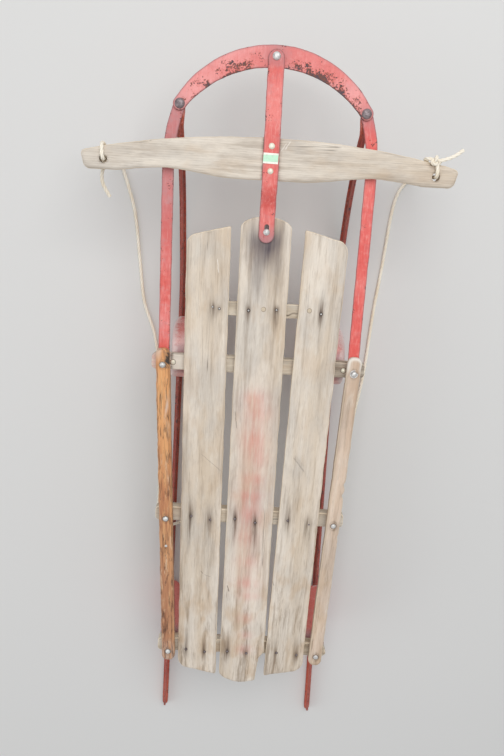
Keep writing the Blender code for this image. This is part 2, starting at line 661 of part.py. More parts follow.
def make_knee(name, side, place):
    """One knee: top plate, outer wall, front and rear flanges, and a foot on the web."""
    wall_bottom = RUNNER_HEIGHT + GAP + KNEE_SHEET
    half_top = CROSSBAR_WIDTH / 2
    outer_foot = RUNNER_HALF_WEB + GAP + KNEE_SHEET

    def section(share):
        """Front half, from the flange's free edge to the middle of the outer wall."""
        height = KNEE_TOP + (wall_bottom - KNEE_TOP) * share
        spread = (1 - (1 - share) ** KNEE_SHOULDER) ** (1 / KNEE_SHOULDER)
        half = half_top + (KNEE_HALF_FOOT - half_top) * spread
        outer = outer_foot + KNEE_BULGE * math.sin(math.pi * share)
        narrow = max(0.0, (share - KNEE_TONGUE) / (1 - KNEE_TONGUE))
        width = KNEE_CORNER * 1.1 + (KNEE_WIDTH - KNEE_CORNER * 1.1) * math.sqrt(1 - narrow ** 2)
        points = [(outer - width, half), (outer - (width + KNEE_CORNER) / 2, half)]
        for step in range(4):
            angle = math.pi / 2 * step / 3
            points.append((outer - KNEE_CORNER * (1 - math.sin(angle)), half - KNEE_CORNER * (1 - math.cos(angle))))
        return [Vector((side * x, y, height)) for x, y in points]

    def mirrored(points):
        return [Vector((point.x, -point.y, point.z)) for point in reversed(points)]

    shares = [KNEE_TONGUE * step for step in (0, 0.04, 0.14, 0.30, 0.52, 0.76)]
    shares += [KNEE_TONGUE + (1 - KNEE_TONGUE) * step for step in (0, 0.29, 0.53, 0.73, 0.89, 0.97, 1.0)]
    rows = [section(share) + mirrored(section(share)) for share in shares]
    shape = bmesh.new()
    grid = [[shape.verts.new(point) for point in row] for row in rows]
    for upper, lower in zip(grid, grid[1:]):
        for i in range(len(upper) - 1):
            shape.faces.new((upper[i], upper[i + 1], lower[i + 1], lower[i]))
    top = grid[0]
    last = len(top) - 1
    for i in range(len(top) // 2 - 1):
        shape.faces.new((top[i + 1], top[i], top[last - i], top[last - i - 1]))
    corner = len(top) // 2 - 1
    edge = (grid[-1][corner], grid[-1][corner + 1])
    foot = [shape.verts.new((vert.co.x, vert.co.y, RUNNER_FLANGE + KNEE_OVER_FLANGE)) for vert in edge]
    shape.faces.new((edge[0], edge[1], foot[1], foot[0]))
    bmesh.ops.recalc_face_normals(shape, faces=shape.faces)
    outward = [face for face in shape.faces if len(face.verts) == 4 and foot[0] in face.verts][0]
    if outward.normal.x * side < 0:
        bmesh.ops.reverse_faces(shape, faces=shape.faces)
    mesh = bpy.data.meshes.new(name)
    shape.to_mesh(mesh)
    shape.free()
    knee = add(name, mesh, RED_STEEL)
    knee.location = (side * runner_x(place), place, 0)
    knee.rotation_euler.z = side * RUNNER_SPLAY
    wall = knee.modifiers.new("sheet", "SOLIDIFY")
    wall.thickness = KNEE_SHEET
    wall.offset = -1.0
    wall.use_even_offset = True


def catmull(points, steps):
    """Smooth curve through points, with steps stretches between each two."""
    line = []
    for i in range(len(points) - 1):
        before, start = points[max(i - 1, 0)], points[i]
        end, after = points[i + 1], points[min(i + 2, len(points) - 1)]
        for step in range(steps):
            t = step / steps
            line.append(0.5 * (2 * start + (end - before) * t + (2 * before - 5 * start + 4 * end - after) * t ** 2
                               + (3 * start - before - 3 * end + after) * t ** 3))
    line.append(points[-1])
    return line


def rope(name, points, pivot=SLED):
    curve = bpy.data.curves.new(name, "CURVE")
    curve.dimensions = "3D"
    curve.bevel_depth = ROPE_RADIUS
    curve.bevel_resolution = 2
    curve.use_fill_caps = True
    line = curve.splines.new("POLY")
    line.points.add(len(points) - 1)
    for place, point in zip(line.points, points):
        place.co = (*point, 1)
    return add(name, curve, ROPE_FIBRE, pivot)


def make_rope():
    knot_seat = BAR_TOP + GAP
    for side, name in SIDES:
        x = side * BAR_HOLE_X
        heights = (knot_seat - GAP, BAR_BOTTOM, (BAR_BOTTOM + ROPE_SPLIT) / 2, ROPE_SPLIT)
        rope("rope_drop_" + name, [Vector((x, BAR_Y, height)) for height in heights], LEVER)
        half = KNOT_HEIGHT / 2
        turns = [math.pi * step / 8 for step in range(9)]
        profile = [(KNOT_RADIUS * math.sin(turn) if 0 < turn < math.pi else 0,
                    knot_seat + half + half * math.cos(turn)) for turn in turns]
        turned("rope_knot_" + name, profile, (x, BAR_Y), ROPE_FIBRE, LEVER)
    ends = [Vector((side * BAR_HOLE_X, BAR_Y, ROPE_SPLIT - GAP)) for side in (-1, 1)]
    middle = [Vector(point) for point in ROPE_ROUTE]
    rope("rope_floor", catmull([ends[0], *middle, ends[1]], ROPE_STEPS))


def main():
    crossbars = make_crossbars()
    center_slat = make_slats()
    make_batten()
    rails = make_rails()
    arms = make_arms()
    bow = make_bow()
    strap = make_strap()
    make_bar()
    for side, name in SIDES:
        hinge = drill("arm_hole_" + name, side * ARM_X, CROSSBAR_Y["front"], RIVET_RADIUS + PIN_FIT)
        for piece in (crossbars["front"], arms[side], rails[side]):
            cut(piece, hinge)
        rivet("rail_rivet_" + name, (side * ARM_X, CROSSBAR_Y["front"]), RAIL_TOP + GAP,
              CROSSBAR_TOP - CROSSBAR_THICKNESS - GAP, RIVET_RADIUS, RAIL_RIVET_HEAD_RADIUS, BRIGHT_STEEL)
    for side, curl in make_runners():
        name = "left" if side < 0 else "right"
        hole = drill("arm_end_hole_" + name, side * BOW_RIVET_X, BOW_RIVET_Y, RIVET_RADIUS + PIN_FIT)
        cut(arms[side], hole)
        cut(curl, hole)
        cut(bow, drill("bow_hole_" + name, side * BOW_RIVET_X, BOW_RIVET_Y, RIVET_RADIUS + BOW_RIVET_FIT))
        rivet("bow_rivet_" + name, (side * BOW_RIVET_X, BOW_RIVET_Y), BOW_TOP + GAP, TAB_BOTTOM - GAP,
              RIVET_RADIUS, BOW_RIVET_HEAD_RADIUS, DARK_STEEL, ARM_PIVOTS[side])
    for place in ("front", "rear"):
        for side, name in SIDES:
            make_knee("knee_" + place + "_" + name, side, CROSSBAR_Y[place])
    cut(center_slat, drill("pin_hole", 0, PIN_Y, PIN_RADIUS + PIN_FIT))
    rivet("deck_pin", (0, PIN_Y), SLAT_TOP + GAP + STRIP_THICKNESS + GAP, SLAT_BOTTOM - GAP, PIN_RADIUS,
          PIN_HEAD_RADIUS, BRIGHT_STEEL)
    cut(bow, drill("bolt_hole", 0, BOW_CROWN, PIN_RADIUS + PIN_FIT))
    cut(strap, drill("strap_hole", 0, BOW_CROWN, PIN_RADIUS + BOLT_FIT))
    rivet("bow_bolt", (0, BOW_CROWN), BOW_TOP + GAP + STRIP_THICKNESS + GAP, BOW_BOTTOM - GAP, PIN_RADIUS,
          BOLT_HEAD_RADIUS, BRIGHT_STEEL, BOW_PIVOT)
    make_rope()


main()
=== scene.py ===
"""Old steerable runner sled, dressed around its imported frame.

Metres, +Z up, the bow points along +Y. Places along the sled are measured from the middle
crossbar, as on a maker's drawing, and MIDDLE carries them into the frame.
"""

import math

import bmesh
import bpy
import numpy as np
from mathutils import Euler, Matrix, Vector, kdtree, noise


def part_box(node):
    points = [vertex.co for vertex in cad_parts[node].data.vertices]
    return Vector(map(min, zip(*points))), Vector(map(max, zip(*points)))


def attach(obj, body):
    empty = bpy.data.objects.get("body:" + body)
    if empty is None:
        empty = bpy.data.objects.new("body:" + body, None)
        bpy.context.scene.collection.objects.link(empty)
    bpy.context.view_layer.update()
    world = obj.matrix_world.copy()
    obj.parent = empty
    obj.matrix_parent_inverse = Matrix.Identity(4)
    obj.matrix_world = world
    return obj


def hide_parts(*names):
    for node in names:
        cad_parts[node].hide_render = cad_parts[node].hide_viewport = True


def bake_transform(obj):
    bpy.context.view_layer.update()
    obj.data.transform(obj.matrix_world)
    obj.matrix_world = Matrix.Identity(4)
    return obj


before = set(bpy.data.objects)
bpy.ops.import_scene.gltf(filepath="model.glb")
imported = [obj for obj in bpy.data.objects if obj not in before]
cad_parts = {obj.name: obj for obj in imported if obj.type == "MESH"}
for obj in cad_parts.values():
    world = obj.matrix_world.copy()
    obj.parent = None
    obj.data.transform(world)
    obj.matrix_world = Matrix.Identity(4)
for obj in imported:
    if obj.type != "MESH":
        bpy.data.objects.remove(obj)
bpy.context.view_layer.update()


def low(node):
    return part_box(node)[0]


def high(node):
    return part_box(node)[1]


def middle_of(node, axis):
    """Place of a node's middle, across the sled on axis 0 or along it on axis 1."""
    return (low(node)[axis] + high(node)[axis]) / 2


# Levels and places read from the frame
ACROSS, ALONG = 0, 1
MIDDLE = middle_of("crossbar_middle", ALONG)
CROSSBAR_BOTTOM = low("crossbar_middle").z
CROSSBAR_TOP = high("crossbar_middle").z
SLAT_BOTTOM = low("slat_left").z
SLAT_TOP = high("slat_left").z
SLAT_LEVEL = (SLAT_BOTTOM + SLAT_TOP) / 2
RAIL_BOTTOM = low("side_rail_left").z
RAIL_TOP = high("side_rail_left").z
BAR_BOTTOM = low("steering_bar").z
BAR_TOP = high("steering_bar").z
ARM_BOTTOM = low("side_arm_left").z
BOW_BOTTOM = low("front_bow").z
BOW_TOP = high("front_bow").z
TAIL_Y = low("runner_left").y
ARM_X = middle_of("rail_rivet_right", ACROSS)
FRONT_Y = middle_of("crossbar_front", ALONG)
REAR_Y = middle_of("crossbar_rear", ALONG)
BOW_RIVET_X = middle_of("bow_rivet_right", ACROSS)
BOW_RIVET_Y = middle_of("bow_rivet_right", ALONG)
BOLT_Y = middle_of("bow_bolt", ALONG)
PIN_Y = middle_of("deck_pin", ALONG)
BAR_Y = middle_of("rope_knot_left", ALONG)
HOLE_X = middle_of("rope_knot_right", ACROSS)

# Camera, in the photograph's own frame
FOCAL_PIXELS = 761
IMAGE_HEIGHT = 756
SENSOR_HEIGHT = 36
CAMERA_PLACE = (-0.0373, 0.4043, 1.2215)
CAMERA_TILT = -0.264865
CAMERA_ROLL = -0.026103
CAMERA_TURN = 0.049118

# Slats
SLAT_SIDES = ((-1, "left"), (1, "right"))
SIDE_SLAT_HALF = 0.0305
SIDE_SLAT_OFFSET = 0.0745
SIDE_SLAT_SPLAY = {"left": math.radians(0.6), "right": math.radians(1.4)}
SIDE_SLAT_FRONT = 0.439
SIDE_SLAT_REAR = -0.275
SIDE_SLAT_SLANT = 0.015
SIDE_SLAT_FRONT_CORNER = 0.012
SIDE_SLAT_REAR_SLANT = 0.0143
SIDE_SLAT_REAR_CORNER = 0.014
CENTER_SLAT_HALF = 0.03525
CENTER_SLAT_FRONT = 0.4445
CENTER_SLAT_REAR = -0.2755
CENTER_SLAT_CROWN = 0.010
CENTER_SLAT_POINT = 0.0125
CENTER_SLAT_CORNER = 0.009
BREAK_LENGTH = 0.030
BREAK_WIDTH = 0.0125
SLAT_ROUNDING = 0.0022

# Frame timber
CROSSBAR_HALF_WIDTH = 0.01125
CROSSBAR_CORNER = 0.006
CROSSBAR_ROUNDING = 0.0020
RAIL_HALF = 0.01015
RAIL_OFFSET = 0.1275
RAIL_SPLAY = math.radians(2.4)
RAIL_FRONT = 0.263
RAIL_REAR = -0.247
RAIL_END = 0.0086
RAIL_NOTCH_REAR = 0.221
BATTEN_PLACE = 0.323
BATTEN_HALF = 0.010
BATTEN_ROUNDING = 0.0012
TIMBER_ROUNDING = 0.0042
# Bites out of the rails' outer edges: along, depth
RAIL_BITES = {"left": (), "right": ((0.068, 0.0022), (0.050, 0.0026), (-0.02, 0.0012), (0.19, 0.0010))}

# Steering bar, from the line of its two holes
BAR_HALF_LENGTH = 0.2536
BAR_HOLE_RADIUS = 0.0055
BAR_FRONT_MIDDLE = 0.0385
BAR_FRONT_END = 0.0114
BAR_REAR_MIDDLE = -0.0165
BAR_REAR_WAIST = -0.0070
BAR_REAR_END = -0.0135
BAR_WAIST_X = 0.145
BAR_BELLY_X = 0.045
BAR_END_CORNER = 0.007
BAR_END_SLANT = 0.006

# Steel strips, rivets and knees
GAP = 0.0003
STRIP_THICKNESS = 0.003
STRIP_ROUNDING = 0.0009
SHARP = math.radians(50)
ARM_HALF = 0.008
ARM_BEND = 0.520
ARM_RISE = 0.005
ARM_RISE_FROM = 0.300
ARM_RISE_LENGTH = 0.160
BOW_WIDTH_MIDDLE = 0.028
BOW_WIDTH_END = 0.018
STRAP_HALF = 0.01075
STRAP_REAR = 0.419
STRAP_FRONT = 0.668
STRAP_REAR_RAMP = (0.462, 0.498)
STRAP_FRONT_RAMP = (0.565, 0.630)
SLOT_LENGTH = 0.014
SLOT_HALF_WIDTH = 0.0033
RUNNER_LIFT = 0.285
RUNNER_SPLIT = 0.295
RUNNER_FLANGE = 0.003
RUNNER_WEB_HALF = 0.0015
CURL_TURN_IN = 0.130
CURL_TOP_RADIUS = 0.020
TAB_LENGTH = 0.010
TAB_HALF_WIDTH = 0.007
TAB_BOTTOM = ARM_BOTTOM + ARM_RISE - GAP - RUNNER_FLANGE
RUNNER_X = 0.1273
RUNNER_SPLAY = math.radians(0.7)
KNEE_TOP = CROSSBAR_BOTTOM - GAP
KNEE_SHEET = 0.0016
KNEE_WALL_BOTTOM = 0.0209
KNEE_FOOT_BOTTOM = 0.005
KNEE_HALF_FOOT = 0.0445
KNEE_WIDTH = 0.032
KNEE_BULGE = 0.003
KNEE_CORNER = 0.004
KNEE_TONGUE = 0.55
KNEE_SHOULDER = 2.0
KNEE_OUTER = RUNNER_WEB_HALF + GAP + KNEE_SHEET
KNEE_RIVET_X = 0.1245

# Fastenings, measured from the axis and from the middle crossbar
# Nails through the slats: across, along, strength of their stain, its reach ahead and behind
NAILS = ((-0.0698, 0.3262, 0.8, 0.010, 0.018), (-0.0602, 0.3240, 0.3, 0.005, 0.007),
         (-0.0188, 0.3235, 0.6, 0.008, 0.020), (0.0208, 0.3262, 0.9, 0.006, 0.026),
         (0.0843, 0.3235, 0.8, 0.022, 0.018), (-0.0890, 0.0028, 1.0, 0.020, 0.040),
         (-0.0598, -0.0020, 0.8, 0.020, 0.024), (-0.0228, 0.0012, 0.9, 0.016, 0.034),
         (0.0086, -0.0036, 1.0, 0.014, 0.038), (0.0584, 0.0020, 0.9, 0.024, 0.018),
         (0.0910, -0.0030, 1.1, 0.012, 0.024), (-0.0899, -0.2300, 0.9, 0.030, 0.014),
         (-0.0599, -0.2334, 0.8, 0.026, 0.012), (-0.0236, -0.2310, 0.9, 0.028, 0.016),
         (0.0069, -0.2332, 0.7, 0.018, 0.012), (0.0554, -0.2304, 0.8, 0.020, 0.016),
         (0.0880, -0.2330, 0.8, 0.022, 0.014))
PLUGS = ((0.0021, 0.3262), (0.0674, 0.3275))
RAIL_RIVETS = ((-0.1376, 0.240), (0.1376, 0.240), (-0.1275, 0.0), (0.1275, 0.0), (-0.1180, -0.230),
               (0.1180, -0.230))
RAIL_NAIL = (-0.1256, -0.0453)
STRAP_RIVETS = (0.547, 0.515)
HEAD_UNEVEN = 0.04
LABEL_SIZE = (0.0200, 0.0137)
LABEL_PLACE = 0.53135

# Grey bloom and faded pink blotches on the centre slat: across, along, half width, half length, strength
SOOT = ((0.000, 0.4385, 0.0050, 0.0090, 1.0), (0.000, 0.422, 0.020, 0.014, 0.70),
        (-0.003, 0.402, 0.015, 0.020, 0.50), (0.012, 0.408, 0.013, 0.020, 0.40),
        (-0.010, 0.372, 0.008, 0.026, 0.34), (0.018, 0.436, 0.011, 0.022, 0.42),
        (-0.019, 0.436, 0.010, 0.022, 0.40), (0.019, 0.385, 0.009, 0.022, 0.26),
        (0.001, 0.370, 0.017, 0.032, 0.20), (-0.016, 0.405, 0.009, 0.022, 0.28))
SMUDGES = ((0.000, 0.150, 0.023, 0.050, 0.20), (0.000, 0.040, 0.023, 0.060, 0.22),
           (-0.001, -0.080, 0.020, 0.060, 0.18), (-0.002, 0.195, 0.017, 0.012, 0.36),
           (0.004, 0.172, 0.018, 0.014, 0.28), (0.000, 0.128, 0.016, 0.020, 0.38),
           (0.008, 0.100, 0.015, 0.014, 0.26), (0.004, 0.068, 0.015, 0.010, 0.34),
           (-0.002, 0.040, 0.020, 0.010, 0.32), (0.000, 0.010, 0.018, 0.018, 0.38),
           (-0.004, -0.030, 0.016, 0.016, 0.24), (0.000, -0.070, 0.015, 0.010, 0.20),
           (0.002, -0.108, 0.018, 0.010, 0.34), (0.006, -0.130, 0.016, 0.008, 0.28),
           (0.002, -0.170, 0.013, 0.010, 0.26), (0.004, -0.200, 0.011, 0.008, 0.30),
           (0.004, -0.226, 0.012, 0.009, 0.45))

# Stage and lights
FLOOR_LEVEL = -0.0004
FLOOR_COLOUR = (0.70, 0.69, 0.67, 1.0)
SKY_COLOUR = (0.93, 0.96, 1.0, 1.0)
SKY_STRENGTH = 0.52
LAMP_SIZE = 1.8
# Lamps: name, place, where they point, power in watts
LAMPS = (("sky", (0.3, 1.3, 2.4), (0.0, 0.1, 0.0), 41), ("side", (-2.2, -0.6, 1.6), (0, 0, 0), 10))

# Rope
ROPE_DIAMETER = 0.005
ROPE_PITCH = 0.022
ROPE_LIFT = 0.0028
ROPE_SPLIT = 0.022
ROPE_STEPS = 6
ROPE_ROUTE = (
    (-0.2225, 0.5175, 0.0120), (-0.2215, 0.5105, 0.0058), (-0.2180, 0.4980, ROPE_LIFT),
    (-0.2123, 0.4810, ROPE_LIFT), (-0.2010, 0.4390, ROPE_LIFT), (-0.1925, 0.3670, ROPE_LIFT),
    (-0.1846, 0.3020, ROPE_LIFT), (-0.1657, 0.2430, ROPE_LIFT), (-0.1560, 0.1600, ROPE_LIFT),
    (-0.1540, 0.0700, ROPE_LIFT), (-0.1535, -0.0100, ROPE_LIFT), (-0.1540, -0.0450, ROPE_LIFT),
    (-0.1555, -0.0650, ROPE_LIFT), (-0.1515, -0.0770, 0.0050), (-0.1420, -0.0800, 0.0140),
    (-0.1280, -0.0790, 0.0224), (-0.1140, -0.0780, 0.0140), (-0.1000, -0.0770, 0.0050),
    (-0.0850, -0.0755, ROPE_LIFT), (-0.0300, -0.0760, ROPE_LIFT), (0.0300, -0.0680, ROPE_LIFT),
    (0.0850, -0.0680, ROPE_LIFT), (0.1000, -0.0670, 0.0050), (0.1140, -0.0660, 0.0140),
    (0.1280, -0.0655, 0.0224), (0.1420, -0.0650, 0.0140), (0.1550, -0.0620, 0.0050),
    (0.1620, -0.0490, ROPE_LIFT), (0.1610, -0.0250, ROPE_LIFT), (0.1600, 0.0500, ROPE_LIFT),
    (0.1700, 0.1250, ROPE_LIFT), (0.1800, 0.2000, ROPE_LIFT), (0.1860, 0.3000, ROPE_LIFT),
    (0.1935, 0.3800, ROPE_LIFT), (0.1995, 0.4560, ROPE_LIFT), (0.2060, 0.4900, ROPE_LIFT),
    (0.2150, 0.5060, ROPE_LIFT), (0.2205, 0.5130, 0.0058), (0.2220, 0.5180, 0.0120),
)


class Value:
    """A node socket that takes part in Python arithmetic by adding Math nodes."""

    def __init__(self, tree, socket):
        self.tree = tree
        self.socket = socket

    def maths(self, operation, *others):
        node = self.tree.nodes.new("ShaderNodeMath")
        node.operation = operation
        for place, value in zip(node.inputs, (self, *others)):
            connect(self.tree, place, value)
        return Value(self.tree, node.outputs[0])

    def __add__(self, other):
        return self.maths("ADD", other)

    __radd__ = __add__

    def __mul__(self, other):
        return self.maths("MULTIPLY", other)

    __rmul__ = __mul__

    def __sub__(self, other):
        return self.maths("SUBTRACT", other)

    def __rsub__(self, other):
        return (self * -1.0) + other

    def __truediv__(self, other):
        return self.maths("DIVIDE", other)

    def __abs__(self):
        return self.maths("ABSOLUTE")


def connect(tree, socket, value):
    if isinstance(value, Value):
        tree.links.new(value.socket, socket)
    else:
        socket.default_value = value


class Tree:
    """A node tree being built: node() adds a node, sets its settings, then feeds its inputs."""

    def __init__(self, tree):
        self.tree = tree

    def node(self, kind, settings=None, inputs=None):
        node = self.tree.nodes.new(kind)
        for key, value in (settings or {}).items():
            setattr(node, key, value)
        for key, value in (inputs or {}).items():
            connect(self.tree, node.inputs[key], value)
        return node

    def out(self, kind, settings=None, inputs=None, output=0):
        return Value(self.tree, self.node(kind, settings, inputs).outputs[output])


def painted(red, green, blue):
    """Linear colour from the 0 to 255 values that a screen shows."""
    return tuple(((c / 255 + 0.055) / 1.055) ** 2.4 for c in (red, green, blue))


class Finish(Tree):
    """A material being built on one Principled shader."""

    def __init__(self, name):
        self.material = bpy.data.materials.new(name)
        self.material.use_nodes = True
        super().__init__(self.material.node_tree)
        self.shader = self.tree.nodes["Principled BSDF"]

    def place(self, turn=0.0, shift=(0, 0, 0)):
        here = self.out("ShaderNodeTexCoord", output="Object")
        return self.out("ShaderNodeMapping", None, {
            "Vector": here, "Rotation": (0, 0, turn), "Location": shift})

    def noise(self, place, scale, detail=3.0, roughness=0.5, distortion=0.0):
        return self.out("ShaderNodeTexNoise", None, {
            "Vector": place, "Scale": scale, "Detail": detail, "Roughness": roughness,
            "Distortion": distortion})

    def drawn(self, place, across, along, *settings):
        """Noise that is drawn out along the grain, with its scale across it and along it."""
        stretched = self.out("ShaderNodeVectorMath", {"operation": "MULTIPLY"}, {
            0: place, 1: (across, along, across)})
        return self.noise(stretched, 1.0, *settings)

    def mark(self, name):
        return self.out("ShaderNodeAttribute", {"attribute_name": name}, None, "Fac")

    def parts(self, vector):
        node = self.node("ShaderNodeSeparateXYZ", None, {0: vector})
        return [Value(self.tree, socket) for socket in node.outputs]

    def step(self, value, start, end):
        """0 below start, 1 above end, eased between."""
        return self.out("ShaderNodeMapRange", {"interpolation_type": "SMOOTHSTEP", "clamp": True}, {
            "Value": value, "From Min": start, "From Max": end})

    def mix(self, share, first, second):
        """Colour between two, each a value or linear red, green and blue."""
        ends = [end if isinstance(end, Value) else (*end, 1.0) for end in (first, second)]
        return self.out("ShaderNodeMix", {"data_type": "RGBA", "clamp_factor": True}, {
            0: share, 6: ends[0], 7: ends[1]}, 2)

    def coats(self, colour, *coats):
        """A colour with coats laid over it in turn, each (share, colour). Plain colours are screen values."""
        def linear(value):
            return value if isinstance(value, Value) else painted(*value)
        covered = linear(colour)
        for share, tint in coats:
            covered = self.mix(share, covered, linear(tint))
        return covered

    def strokes(self, lines):
        """Ragged scratches, each from one place on the sled to another with a half width and a strength."""
        x, y = self.parts(self.place())[:2]
        ragged = (self.noise(self.place(), 260, 2.0) - 0.5) * 0.0022
        total = 0.0
        for start, end, width, strength in lines:
            run, rise = end[0] - start[0], end[1] - start[1]
            length = math.hypot(run, rise)
            east, north = x - start[0], y - (start[1] + MIDDLE)
            along = (east * run + north * rise) / length ** 2
            away = abs((east * rise - north * run) / length + ragged)
            ends = self.step(along, 0.0, 0.15) * (1 - self.step(along, 0.85, 1.0))
            total = (1 - self.step(away, width * 0.3, width)) * ends * strength + total
        return total

    def feed(self, **values):
        for name, value in values.items():
            connect(self.tree, self.shader.inputs[name.replace("_", " ")], value)

    def relief(self, height, distance, strength):
        bump = self.out("ShaderNodeBump", None, {
            "Height": height, "Distance": distance, "Strength": strength}, "Normal")
        self.feed(Normal=bump)


# Pale, tan and grey of each kind of timber, as a screen shows them
BOARD_TONES = ((230, 218, 203), (211, 193, 171), (198, 190, 180))
CROSSBAR_TONES = ((224, 214, 198), (198, 182, 158), (182, 173, 160))
BAR_TONES = ((228, 217, 202), (208, 191, 170), (192, 184, 174))
RAIL_TONES = ((226, 203, 182), (202, 175, 151), (186, 170, 156))

# Scratches by board: from (across, along), to (across, along), half width, strength
DARK_STROKES = {
    "ash_slat_left": (((-0.0795, 0.1056), (-0.0455, 0.0769), 0.0006, 0.35),
                      ((-0.0715, -0.0889), (-0.0676, -0.0943), 0.0008, 0.5),
                      ((-0.0663, -0.0953), (-0.0549, -0.0993), 0.0007, 0.35)),
    "ash_slat_center": (((-0.0294, -0.1120), (-0.0257, -0.1242), 0.0010, 0.7),
                        ((-0.0308, 0.1752), (-0.0263, 0.1444), 0.0008, 0.5)),
    "ash_slat_right": (((0.0592, 0.1061), (0.0790, 0.0815), 0.0016, 0.30),
                       ((0.0612, 0.1085), (0.0760, 0.0905), 0.0034, 0.12),
                       ((0.0405, -0.1017), (0.0442, -0.1103), 0.0008, 0.45)),
}
PALE_STROKES = {
    "ash_steering_bar": (((0.0178, 0.5431), (0.0249, 0.5549), 0.0009, 0.5),
                         ((0.0127, 0.5403), (0.0198, 0.5521), 0.0009, 0.4)),
    "ash_slat_left": (((-0.066, 0.395), (-0.063, 0.373), 0.0010, 0.5),),
}


def weathered_wood(name, turn, seed, pith, tilt, tones=BOARD_TONES, grime=0.20, grain=0.03):
    """Bare old ash, greyed and smooth: faint rings, fibres, pores, some open checks and stains."""
    f = Finish(name)
    pale, tan, grey = tones
    place = f.place(turn, (seed * 0.31, seed * 0.17, seed * 0.06))
    across, along, up = f.parts(f.place(turn))
    sway = f.drawn(place, 7, 1.6, 2.0) - 0.5
    ripple = f.drawn(place, 60, 7, 2.0) - 0.5
    side = across - pith + sway * 0.022 + ripple * 0.0016
    depth = along * tilt + up * 0.8 - 0.10 + sway * 0.030
    ring = ((side * side + depth * depth).maths("SQRT") * 330).maths("FRACT")
    late = f.step(ring, 0.20, 0.88) * (1 - f.step(ring, 0.90, 1.0))
    bands = f.drawn(place, 34, 2.6, 3.0)
    streak = f.drawn(place, 150, 9.0, 4.0, 0.62)
    fibre = f.drawn(place, 1150, 60, 3.0, 0.65)
    pores = f.step(f.drawn(place, 800, 60, 1.0), 0.62, 0.72)
    cloud = f.drawn(place, 26, 9, 4.0, 0.6)
    warm = f.drawn(place, 34, 17, 3.0, 0.55, 0.3)
    patch = f.drawn(place, 105, 24, 5.0, 0.68)
    behind = f.step(f.parts(f.place())[1], -0.06, -0.36)
    rot = f.step(f.drawn(place, 110, 11, 5.0, 0.70, 0.3) + behind * 0.06, 0.54, 0.70)
    line = abs(f.drawn(place, 110, 1.7, 2.0) - 0.5)
    check = (1 - f.step(line, 0.0, 0.007)) * f.step(f.drawn(place, 30, 8, 2.0), 0.57, 0.62)
    rim, stain = f.mark("rim"), f.mark("stain")
    coats = [
        (f.step(bands, 0.36, 0.66), tan),
        (f.step(cloud, 0.40, 0.66) * (0.62 - behind * 0.35), grey),
        (f.step(warm, 0.50, 0.68) * (0.26 + behind * 0.30), (198, 168, 134)),
        (f.step(patch, 0.52, 0.72) * (0.22 - behind * 0.10), (148, 130, 112)),
        (f.step(patch, 0.47, 0.30) * 0.26, (244, 236, 222)),
        (late * (grain + f.step(cloud, 0.5, 0.7) * 0.09), (140, 118, 98)),
        (f.step(streak, 0.52, 0.68) * 0.30, (140, 118, 94)),
        (f.step(streak, 0.47, 0.30) * 0.24, (240, 230, 214)),
        (f.step(fibre, 0.50, 0.70) * 0.17, (136, 118, 100)),
        (pores * 0.12, (110, 94, 80)),
        (rot * (grime + behind * 0.34), (120, 94, 66)),
        # Along the rims a streaky darker band, and on the very edge a pale cream painted highlight
        (f.step(rim, 0.0, 0.9) * f.step(streak, 0.44, 0.60) * 0.22, (120, 100, 78)),
        (f.step(rim, 0.62, 0.95) * 0.66, (248, 232, 206)),
        # Pale where rubbed; on the front crossbar's left part this is partly painted light in the rail's
        # shade
        (f.mark("rubbed_and_lit") * (0.6 + patch * 0.6), (240, 234, 224)),
        (check * 0.6, (84, 70, 60)),
        (f.mark("smudge") * f.step(streak + fibre * 0.4 + patch * 0.4, 0.50, 1.05), (222, 132, 120)),
        (f.mark("soot") * (0.45 + streak * 0.8), (86, 76, 82)),
        (f.step(stain, 0.05, 0.7) * f.step(streak, 0.35, 0.60) * 0.40, (150, 118, 92)),
        (stain * (0.15 + f.step(streak + fibre * 0.3, 0.40, 0.85) * 0.95), (58, 46, 40)),
    ]
    for strokes, tint in ((DARK_STROKES, (84, 70, 62)), (PALE_STROKES, (246, 240, 232))):
        if name in strokes:
            coats.append((f.strokes(strokes[name]), tint))
    f.feed(Base_Color=f.coats(pale, *coats), Roughness=0.62 + late * 0.08 + fibre * 0.12,
           Specular_IOR_Level=0.3)
    f.relief(late * 0.10 + fibre * 0.35 - check * 1.2 - pores * 0.25 - stain * 0.2, 0.0004, 0.6)
    return f.material


